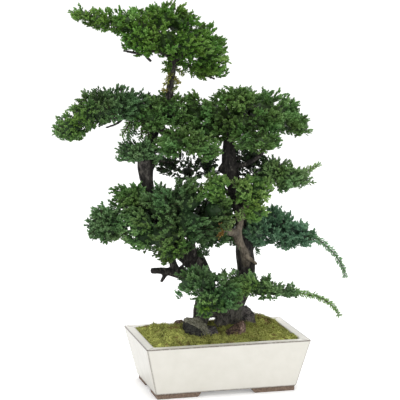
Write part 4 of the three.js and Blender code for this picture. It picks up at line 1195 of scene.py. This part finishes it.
# Painted light on the bark near the ground, against the foliage's shadow: the height below which it begins,
# and over how much height it grows full
FOOT_LIGHT_TOP = 270
FOOT_LIGHT_FADE = 60


def closeness(points, paths):
    """Distance from each point to the nearest of the paths."""
    return np.min([np.linalg.norm(points[:, None] - path[None], axis=2).min(1) for path in paths], axis=0)


def make_wood():
    """Tubes along every limb, melted into one skin, and pushed in and out along its normals by
    furrows that run up the wood and by low knots. The dead branch in front is pale, and the bark
    near the ground is marked for painted light against the foliage's shadow."""
    thick = [tube(points, 8, 20, RELIEF) for points in TRUNKS + ROOTS]
    thin = [tube(points, 6, 12, RELIEF) for points in BRANCHES + PALE_BRANCH]
    points, faces, _ = joined([(places, corners, {}) for places, corners in thick + thin])
    piece = make_piece("wood", points, faces, bark, "tree_wood")
    melt = piece.modifiers.new("melt", "REMESH")
    melt.mode = "VOXEL"
    melt.voxel_size = WOOD_VOXEL * MM
    melt.use_smooth_shade = True
    apply_modifiers(piece)
    points, normals = mesh_points(piece)
    wander = FURROW_WANDER * noise(points, FURROW_WANDER_CELL, 5)[:, None]
    furrows = ridges(points + wander, FURROW_CELL, 7) - FURROW_LEVEL
    knots = noise(points, KNOT_CELL, 9) - 0.5
    nearest = closeness(points, [curve_through(path, 10)[0] for path in PALE_BRANCH])
    pale = (np.clip((PALE_REACH - nearest) / PALE_FADE, 0, 1)
            * np.clip((PALE_FRONT - points[:, 1]) / PALE_FRONT_FADE, 0, 1))
    from_trunks = closeness(points, [curve_through(path, 6)[0] for path in TRUNKS + ROOTS])
    slender = np.clip(from_trunks / LIMB_REACH, 0, 1)
    depth = FURROW_DEPTH * (1 - 0.75 * slender) * (1 - 0.7 * pale)
    move_points(piece, points + normals * (depth * furrows + KNOT_HEIGHT * knots * (1 - slender))[:, None])
    # Painted light: the bark is marked to lighten towards the ground, against the foliage's shadow
    add_marks(piece.data, {"pale": pale, "painted_foot_light": np.clip((FOOT_LIGHT_TOP - points[:, 2]) / FOOT_LIGHT_FADE, 0, 1)})
    piece.data.materials.clear()
    piece.data.materials.append(bark)


# Pot

def plan_at(height, inset):
    """Half length and half width of the pot's outside at a height, less an inset all round."""
    up = (height - FOOT_HEIGHT) / (POT_HEIGHT - FOOT_HEIGHT)
    return (POT_LENGTH / 2 - END_LEAN * (1 - up) - inset, POT_WIDTH / 2 - SIDE_LEAN * (1 - up) - inset)


def rounded_ring(half_length, half_width, height):
    """A rectangle with round corners: a quarter circle at each corner, and straight sides between."""
    turns = np.linspace(0, np.pi / 2, CORNER_STEPS)
    corner = np.stack([np.cos(turns), np.sin(turns)], -1) * CORNER_RADIUS
    quarters = []
    for k, (x, y) in enumerate(((1, 1), (-1, 1), (-1, -1), (1, -1))):
        angle = k * np.pi / 2
        turned = corner @ np.array([[np.cos(angle), np.sin(angle)], [-np.sin(angle), np.cos(angle)]])
        quarters.append(turned + [x * (half_length - CORNER_RADIUS), y * (half_width - CORNER_RADIUS)])
    sides = [np.linspace(quarters[k][-1], quarters[(k + 1) % 4][0], SIDE_STEPS)[1:-1] for k in range(4)]
    flat = np.vstack([part for pair in zip(quarters, sides) for part in pair])
    return np.column_stack([flat, np.full(len(flat), height)])


def rounding(height, inset, radius, start, sharp):
    """A quarter circle of the pot's section round a height and an inset, from the start angle on."""
    return [(height + radius * np.sin(turn), inset - radius * np.cos(turn), sharp)
            for turn in start + np.linspace(0, np.pi / 2, 5)]


def pot_profile():
    """The pot's section from the middle of its underside, out and up the wall, over the lip, and
    down inside to the middle of its floor: height, inset from the outside, and how sharp the
    edge is there. The lip's top sags a little between its edges."""
    floor = FOOT_HEIGHT + FLOOR
    under_lip = POT_HEIGHT - LIP_DEPTH
    return [
        (FOOT_HEIGHT, MIDDLE_INSET, 0), (FOOT_HEIGHT, 8, 0), (FOOT_HEIGHT, 2.5, 0.3),
        *rounding(FOOT_HEIGHT + LOW_ROUND, LOW_ROUND, LOW_ROUND, -np.pi / 2, 0.9),
        (FOOT_HEIGHT + 3.2, 0, 0.2),
        *[(height, 0, 0) for height in np.linspace(FOOT_HEIGHT + 5, POT_HEIGHT - 5, 14)],
        (POT_HEIGHT - 3, 0, 0.1),
        *rounding(POT_HEIGHT - RIM_ROUND, RIM_ROUND, RIM_ROUND, 0, 1.0),
        (POT_HEIGHT, 3.2, 0.15),
        *[(POT_HEIGHT - LIP_SAG * np.sin(np.pi * share), 5 + (LIP_WIDTH - 9) * share, 0)
          for share in np.linspace(0, 1, 6)],
        *rounding(POT_HEIGHT - LIP_ROUND, LIP_WIDTH - LIP_ROUND, LIP_ROUND, np.pi / 2, 0.55),
        (under_lip + 1, LIP_WIDTH, 0), (under_lip, LIP_WIDTH - 1, 0), (under_lip, WALL + 1, 0),
        (under_lip - 1, WALL, 0), (floor + 1, WALL, 0), (floor, WALL + 1, 0),
        (floor, MIDDLE_INSET, 0),
    ]


def pot_body():
    """Rings of the section carried round a rounded rectangle, closed in the middle of the floor.
    The upright corners are sharpest along their middle line."""
    rings = []
    edges = []
    for height, inset, sharp in pot_profile():
        half_length, half_width = plan_at(height, inset)
        ring = rounded_ring(half_length, half_width, height)
        rings.append(ring)
        from_end = half_length - np.abs(ring[:, 0])
        from_side = half_width - np.abs(ring[:, 1])
        on_corner = (from_end < CORNER_RADIUS) & (from_side < CORNER_RADIUS)
        outside = inset < LIP_WIDTH - 4 and FOOT_HEIGHT < height < POT_HEIGHT
        turn = np.abs(from_end - from_side) / CORNER_RADIUS
        arris = np.where(on_corner, np.clip(1 - 1.3 * turn, 0, 1), 0) * (CORNER_SHARPNESS if outside else 0)
        edges.append(np.maximum(arris, sharp))
    points = np.vstack(rings + [[[0, 0, FOOT_HEIGHT], [0, 0, FOOT_HEIGHT + FLOOR]]])
    faces = closed_rings(len(rings), len(rings[0]))[:, ::-1]
    return points, faces, {"edge": np.concatenate(edges + [[0, 0]]), "clay": np.zeros(len(points))}


def pot_foot(sign_x, sign_y):
    """An L of fired clay under a corner, from rings of its outline that draw in at its lower
    edge. The ends of the L slant in towards the bottom."""
    far_x, far_y = plan_at(FOOT_HEIGHT, FOOT_INSET)
    inner_x = far_x - FOOT_BREADTH
    inner_y = far_y - FOOT_BREADTH
    end_x = far_x - FOOT_LENGTH
    end_y = far_y - FOOT_SIDE_LENGTH
    outline = np.array([[far_x, far_y], [end_x, far_y], [end_x, inner_y], [inner_x, inner_y],
                        [inner_x, end_y], [far_x, end_y]])
    inward = np.array([[-1, -1], [1, -1], [1, 1], [1, 1], [1, 1], [-1, 1]])
    rings = []
    for height, draw in FOOT_RINGS:
        slant = FOOT_SLANT * (1 - min(height, FOOT_HEIGHT) / FOOT_HEIGHT)
        ring = outline + draw * inward
        ring[1:3, 0] += slant
        ring[4:, 1] += slant
        rings.append(np.column_stack([ring, np.full(6, height)]))
    points = np.vstack(rings)
    cap = np.array([[0, 1, 2], [0, 2, 3], [0, 3, 4], [0, 4, 5]])
    faces = np.vstack([grid_faces(len(rings), 6, True), cap[:, ::-1], cap + len(points) - 6])
    points[:, :2] *= [sign_x, sign_y]
    if sign_x * sign_y < 0:
        faces = faces[:, ::-1]
    return points, faces, {"edge": np.zeros(len(points)), "clay": np.ones(len(points))}


def make_pot():
    """The glazed body with two round drain holes cut through its floor, and its four feet."""
    points, faces, marks = pot_body()
    body = make_piece("pot_body", points, faces, glaze, "pot", marks)
    low = FOOT_HEIGHT - DRAIN_MARGIN
    high = FOOT_HEIGHT + FLOOR + DRAIN_MARGIN
    drains = [tube([(x, 0, low, DRAIN_RADIUS), (x, 0, high, DRAIN_RADIUS)], 1, 40)
              for x in (-DRAIN_OFFSET, DRAIN_OFFSET)]
    places, corners, _ = joined([(places, corners, {}) for places, corners in drains])
    cutter = new_object("drain_cutter", places, corners, {}, True)
    cutter.data.materials.append(glaze)
    cut = body.modifiers.new("drain", "BOOLEAN")
    cut.object = cutter
    cut.operation = "DIFFERENCE"
    cut.solver = "EXACT"
    apply_modifiers(body)
    bpy.data.objects.remove(cutter)
    points, faces, marks = joined([pot_foot(x, y) for x in (-1, 1) for y in (-1, 1)])
    make_piece("pot_feet", points, faces, glaze, "pot", marks, smooth=False)


# Moss

def domes(x, y, size, seed):
    """Cushions side by side. Each square of a grid has a seat at a random place in it, and the
    height falls as a parabola, from 1 to 0, with the distance from the nearest seat."""
    square = np.column_stack([np.floor(x / size), np.floor(y / size), 0 * x]).astype(np.int64)
    nearest = np.full(len(x), np.inf)
    for step in itertools.product((-1, 0, 1), (-1, 0, 1), (0,)):
        near = square + step
        seat_x = (near[:, 0] + scattered(near, seed)) * size
        seat_y = (near[:, 1] + scattered(near, seed + 1)) * size
        nearest = np.minimum(nearest, np.hypot(x - seat_x, y - seat_y) / size)
    return np.clip(1 - nearest**2, 0, 1)


def moss_cushions(x, y):
    """Large, middling and small cushions, weighed by their size, from 0 to 1."""
    wander = 5 * noise(np.column_stack([x, y, 0 * x]), 14, 20)
    return (0.5 * domes(x + wander, y, 34, 21) + 0.32 * domes(x, y + wander, 15, 23)
            + 0.18 * domes(x - wander, y, 6, 25))


def moss_height(x, y):
    """The moss swells from the pot's lip to a bed with broad mounds, which fall off as bell curves,
    and with cushions all over it."""
    half_length, half_width = plan_at(POT_HEIGHT, LIP_WIDTH)
    swell = np.minimum(1, np.minimum((half_length - np.abs(x)) / MOSS_END_SLOPE,
                                     (half_width - np.abs(y)) / MOSS_SIDE_SLOPE))
    mounds = np.max([height * np.exp(-(((x - at_x) / length) ** 2) - (((y - at_y) / width) ** 2))
                     for at_x, at_y, length, width, height in MOSS_MOUNDS], axis=0)
    ripples = np.sin(x / 11 + 2 * np.sin(y / 23)) * np.sin(y / 9 + 1.5 * np.sin(x / 31))
    cushions = CUSHION_HEIGHT * (moss_cushions(x, y) - CUSHION_LEVEL)
    return MOSS_EDGE + swell * (5 + 2 * ripples + mounds) + (0.35 + 0.65 * swell) * cushions


def moss_painted_light(x):
    """Painted light: how much lighter the moss is made towards the pot's ends, against the tree's shade."""
    return 0.22 * np.clip((np.abs(x + 10) - 70) / 50, 0, 1)


def moss_mat(half_length, half_width):
    """A fine grid of heights with a wall and a floor under it. Its colour is lighter on the cushions
    and darker in the creases between them, painted shade, and lighter towards the pot's ends,
    painted light.
    """
    x, y = np.meshgrid(np.linspace(-half_length, half_length, MOSS_COLUMNS),
                       np.linspace(-half_width, half_width, MOSS_ROWS))
    x = x.ravel()
    y = y.ravel()
    top = np.column_stack([x, y, moss_height(x, y)])
    index = np.arange(len(top)).reshape(MOSS_ROWS, MOSS_COLUMNS)
    rim = np.concatenate([index[0, :-1], index[:-1, -1], index[-1, :0:-1], index[:0:-1, 0]])
    bottom = SOIL_TOP + MOSS_GAP
    floor = top[rim] * [0.995, 0.995, 0] + [0, 0, bottom]
    low = len(top) + np.arange(len(rim))
    wall = np.concatenate([
        np.stack([low, np.roll(low, -1), np.roll(rim, -1)], -1), np.stack([low, np.roll(rim, -1), rim], -1)])
    points = np.vstack([top, floor, [[0, 0, bottom]]])
    faces = np.vstack([grid_faces(MOSS_ROWS, MOSS_COLUMNS, False), wall,
                       cap_faces(len(top), len(rim), len(points) - 1)[:, ::-1]])
    # Painted shade in the creases between cushions, and painted light towards the pot's ends
    growth = np.concatenate([1.1 * moss_cushions(x, y) - 0.35 + moss_painted_light(x), np.zeros(len(rim) + 1)])
    return points, faces, {"growth": growth}


def moss_stalks(half_length, half_width):
    """Slim three-sided pyramids all over the moss, longer on the cushions and in tufts, in
    clumps of lighter and darker growth. They are also lighter on the cushions and darker in the
    hollows between them, painted shade, and lighter towards the pot's ends, painted light."""
    x = random.uniform(-half_length + 1, half_length - 1, MOSS_STALKS)
    y = random.uniform(-half_width + 1, half_width - 1, MOSS_STALKS)
    risen = moss_cushions(x, y)
    roots = np.column_stack([x, y, moss_height(x, y) - STALK_RADIUS])
    heading = unit(np.column_stack([random.normal(0, STALK_LEAN, (MOSS_STALKS, 2)), np.ones(MOSS_STALKS)]))
    tufts = np.clip((noise(roots, 13, 27) - 0.6) / 0.2, 0, 1)
    length = random.uniform(*STALK_LENGTHS, MOSS_STALKS) * (0.5 + 0.7 * risen + 1.2 * tufts)
    right = unit(np.cross(heading, [0.0, 1.0, 0.0])) * STALK_RADIUS
    over = np.cross(heading, right)
    points = np.stack([roots + right, roots - 0.5 * right + 0.87 * over, roots - 0.5 * right - 0.87 * over,
                       roots + heading * length[:, None]], axis=1).reshape(-1, 3)
    corners = np.array([[0, 1, 3], [1, 2, 3], [2, 0, 3], [0, 2, 1]])
    faces = corners[None] + np.arange(MOSS_STALKS)[:, None, None] * 4
    clumps = noise(roots, 24, 28) + 0.6 * noise(roots, 8, 29) - 0.8
    # Lightness of each stalk: painted shade in the hollows between cushions, clumps of growth, painted light
    # towards the ends, and a random difference
    shade = 0.32 + 0.8 * risen + 1.3 * clumps + moss_painted_light(x) + random.normal(0, STALK_VARIETY, MOSS_STALKS)
    growth = np.tile([0.05, 0.05, 0.05, 1.0], MOSS_STALKS) * np.repeat(np.clip(shade, 0, 1.3), 4)
    return points, faces.reshape(-1, 3), {"growth": growth}


def make_moss():
    """The mat and the stalks on it, as one piece that ends just inside the pot's lip."""
    half_length, half_width = plan_at(POT_HEIGHT, LIP_WIDTH + MOSS_GAP)
    points, faces, marks = joined([moss_mat(half_length, half_width), moss_stalks(half_length, half_width)])
    make_piece("moss_mat", points, faces, moss, "moss", marks)


# Stones

def ball_grid(rings, sides):
    """A ball of radius 1 from rings of points with a pole at each end, and its triangles."""
    up = np.cos(np.linspace(0, np.pi, rings + 2))[1:-1, None]
    around = np.linspace(0, 2 * np.pi, sides, endpoint=False)
    level = np.sqrt(1 - up**2)
    ball = np.stack([level * np.cos(around), level * np.sin(around), up + 0 * around], -1).reshape(-1, 3)
    return np.vstack([ball, [[0, 0, 1], [0, 0, -1]]]), closed_rings(rings, sides)


def flat_sides(corners):
    """The flat sides of the block that a stone's corner points span: each three corners whose plane
    has all the others on one side give one. Returns the corners' middle, the sides' outward
    directions, and their distances from that middle."""
    middle = corners.mean(0)
    trios = corners[np.array(list(itertools.combinations(range(len(corners)), 3)))]
    across = np.cross(trios[:, 1] - trios[:, 0], trios[:, 2] - trios[:, 0])
    spread = np.linalg.norm(across, axis=1) > 1
    normals = unit(across[spread])
    distances = ((trios[spread, 0] - middle) * normals).sum(1)
    normals = np.where(distances[:, None] < 0, -normals, normals)
    distances = np.abs(distances)
    outer = ((corners - middle) @ normals.T <= distances + 0.01).all(0)
    return middle, normals[outer], distances[outer]


def make_stone(name, stone, material, seed, replaced):
    """A ball whose reach in each direction is that of the nearest of the stone's flat sides, then
    broken up by crests and hollows of three sizes. What faces the lighter side's way takes the
    lighter colours."""
    lighter_way, crag, corners = stone
    middle, normals, distances = flat_sides(np.array(corners, float))
    ball, faces = ball_grid(STONE_RINGS, STONE_COLUMNS)
    closeness_to_sides = np.maximum(ball @ normals.T, 1e-3) / distances
    points = ball / closeness_to_sides.max(1)[:, None] + middle
    rough = sum(share * (ridges(points, cell, seed + k) - 0.5)
                for k, (share, cell) in enumerate(((1, 17), (0.6, 8), (0.3, 3.5))))
    side = normals[np.argmax(closeness_to_sides, axis=1)]
    lighter_side = np.clip((side @ unit(np.array(lighter_way)) - LIGHTER_SIDE_FROM) / LIGHTER_SIDE_FADE, 0, 1)
    points = points + ball * (crag * rough * (1 - 0.5 * lighter_side))[:, None]
    make_piece(name, points, faces, material, replaced, {"lighter_side": lighter_side})


FIRST_STONE_SEED = 11
ROOT_STONE_SEED = 15

leaves = {name: leaf_material(name, colours) for name, colours in LEAF_COLOURS.items()}
bark = bark_material()
glaze = glaze_material()
moss = moss_material()
rocks = {}

for name in PADS:
    make_pad(name)
make_wood()
make_pot()
make_moss()
for seed, (name, stone) in enumerate(STONES.items(), FIRST_STONE_SEED):
    rock, slot, colours = STONE_LOOKS[name]
    rocks[name] = stone_material(rock, *[linear(*colour) for colour in colours])
    make_stone(f"{name}_rough", stone, rocks[name], seed, name)
make_stone("root_stone", ROOT_STONE, rocks["stone_dark"], ROOT_STONE_SEED, "stone_slab")

# Solids that stay, with materials of their own
earth = plain_material("soil", 0.95, linear(50, 36, 26), linear(110, 84, 62), 120.0, 0.004)
plastic = plain_material("screen_mesh", 0.6, linear(36, 36, 36), linear(52, 52, 52), 200.0, 0.0005)
for name, material in (("soil", earth), ("drain_screen_left", plastic), ("drain_screen_right", plastic)):
    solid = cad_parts[name]
    solid.data.materials.clear()
    solid.data.materials.append(material)

# Camera: turned a little to the left of the pot's front and looking slightly down
CAMERA_TURN = np.radians(-15.04)
CAMERA_DROP = np.radians(9.29)
CAMERA_ROLL = np.radians(0.32)
CAMERA_DISTANCE = 3853
CAMERA_LENS = 144
AIM_RIGHT = -40.9
AIM_HEIGHT = 457.8

back = np.array([np.sin(CAMERA_TURN) * np.cos(CAMERA_DROP), -np.cos(CAMERA_TURN) * np.cos(CAMERA_DROP),
                 np.sin(CAMERA_DROP)])
right = np.array([np.cos(CAMERA_TURN), np.sin(CAMERA_TURN), 0])
over = np.cross(back, right)
aim = POT_MIDDLE + right * AIM_RIGHT + AIM_HEIGHT * UP
rolled_right = np.cos(CAMERA_ROLL) * right + np.sin(CAMERA_ROLL) * over
rolled_over = np.cos(CAMERA_ROLL) * over - np.sin(CAMERA_ROLL) * right
turned = Matrix(np.column_stack([rolled_right, rolled_over, back]).tolist()).to_4x4()
camera = bpy.data.objects.new("camera", bpy.data.cameras.new("camera"))
camera.data.lens = CAMERA_LENS
camera.data.clip_end = 100
camera.matrix_world = Matrix.Translation(Vector((aim + CAMERA_DISTANCE * back) * MM)) @ turned
bpy.context.scene.collection.objects.link(camera)
bpy.context.scene.camera = camera

# Stage, in metres: a wide pale floor, an even pale sky, a soft lamp above the front left and one
# above the back
FLOOR_REACH = 30
LAMP_TARGET = (0, 0, 0.5)

floor_mesh = bpy.data.meshes.new("floor")
floor_corners = [(x * FLOOR_REACH, y * FLOOR_REACH, 0) for x, y in ((-1, -1), (1, -1), (1, 1), (-1, 1))]
floor_mesh.from_pydata(floor_corners, [], [(0, 1, 2, 3)])
floor = bpy.data.objects.new("floor", floor_mesh)
bpy.context.scene.collection.objects.link(floor)
floor_material, _, floor_shader = new_material("pale_floor", 0.9, 0.1)
floor_shader.inputs["Base Color"].default_value = (0.92, 0.92, 0.92, 1)
floor_tree = floor_material.node_tree
seen = add_node(floor_tree, "ShaderNodeLightPath").outputs["Is Camera Ray"]
floor_tree.links.new(remapped(floor_tree, seen, 0.0, 1.0, 0.0, 0.3), floor_shader.inputs["Emission Strength"])
floor_shader.inputs["Emission Color"].default_value = (1, 1, 1, 1)
floor_mesh.materials.append(floor_material)

world = bpy.data.worlds.new("studio")
bpy.context.scene.world = world
world.use_nodes = True
sky = world.node_tree.nodes["Background"]
seen = add_node(world.node_tree, "ShaderNodeLightPath").outputs["Is Camera Ray"]
sky.inputs["Color"].default_value = (1, 1, 1, 1)
world.node_tree.links.new(remapped(world.node_tree, seen, 0.0, 1.0, 0.86, 1.1), sky.inputs["Strength"])


def add_lamp(name, place, size, power):
    """A square lamp of soft light that shines at the tree's middle."""
    lamp = bpy.data.objects.new(name, bpy.data.lights.new(name, "AREA"))
    lamp.data.size = size
    lamp.data.energy = power
    direction = Vector(LAMP_TARGET) - Vector(place)
    lamp.matrix_world = Matrix.Translation(place) @ direction.to_track_quat("-Z", "Y").to_matrix().to_4x4()
    bpy.context.scene.collection.objects.link(lamp)


add_lamp("key", (-1.1, -2.7, 3.2), 1.6, 30)
add_lamp("top", (0.4, 0.6, 3.4), 2.0, 40)

bpy.context.scene.view_settings.view_transform = "Standard"
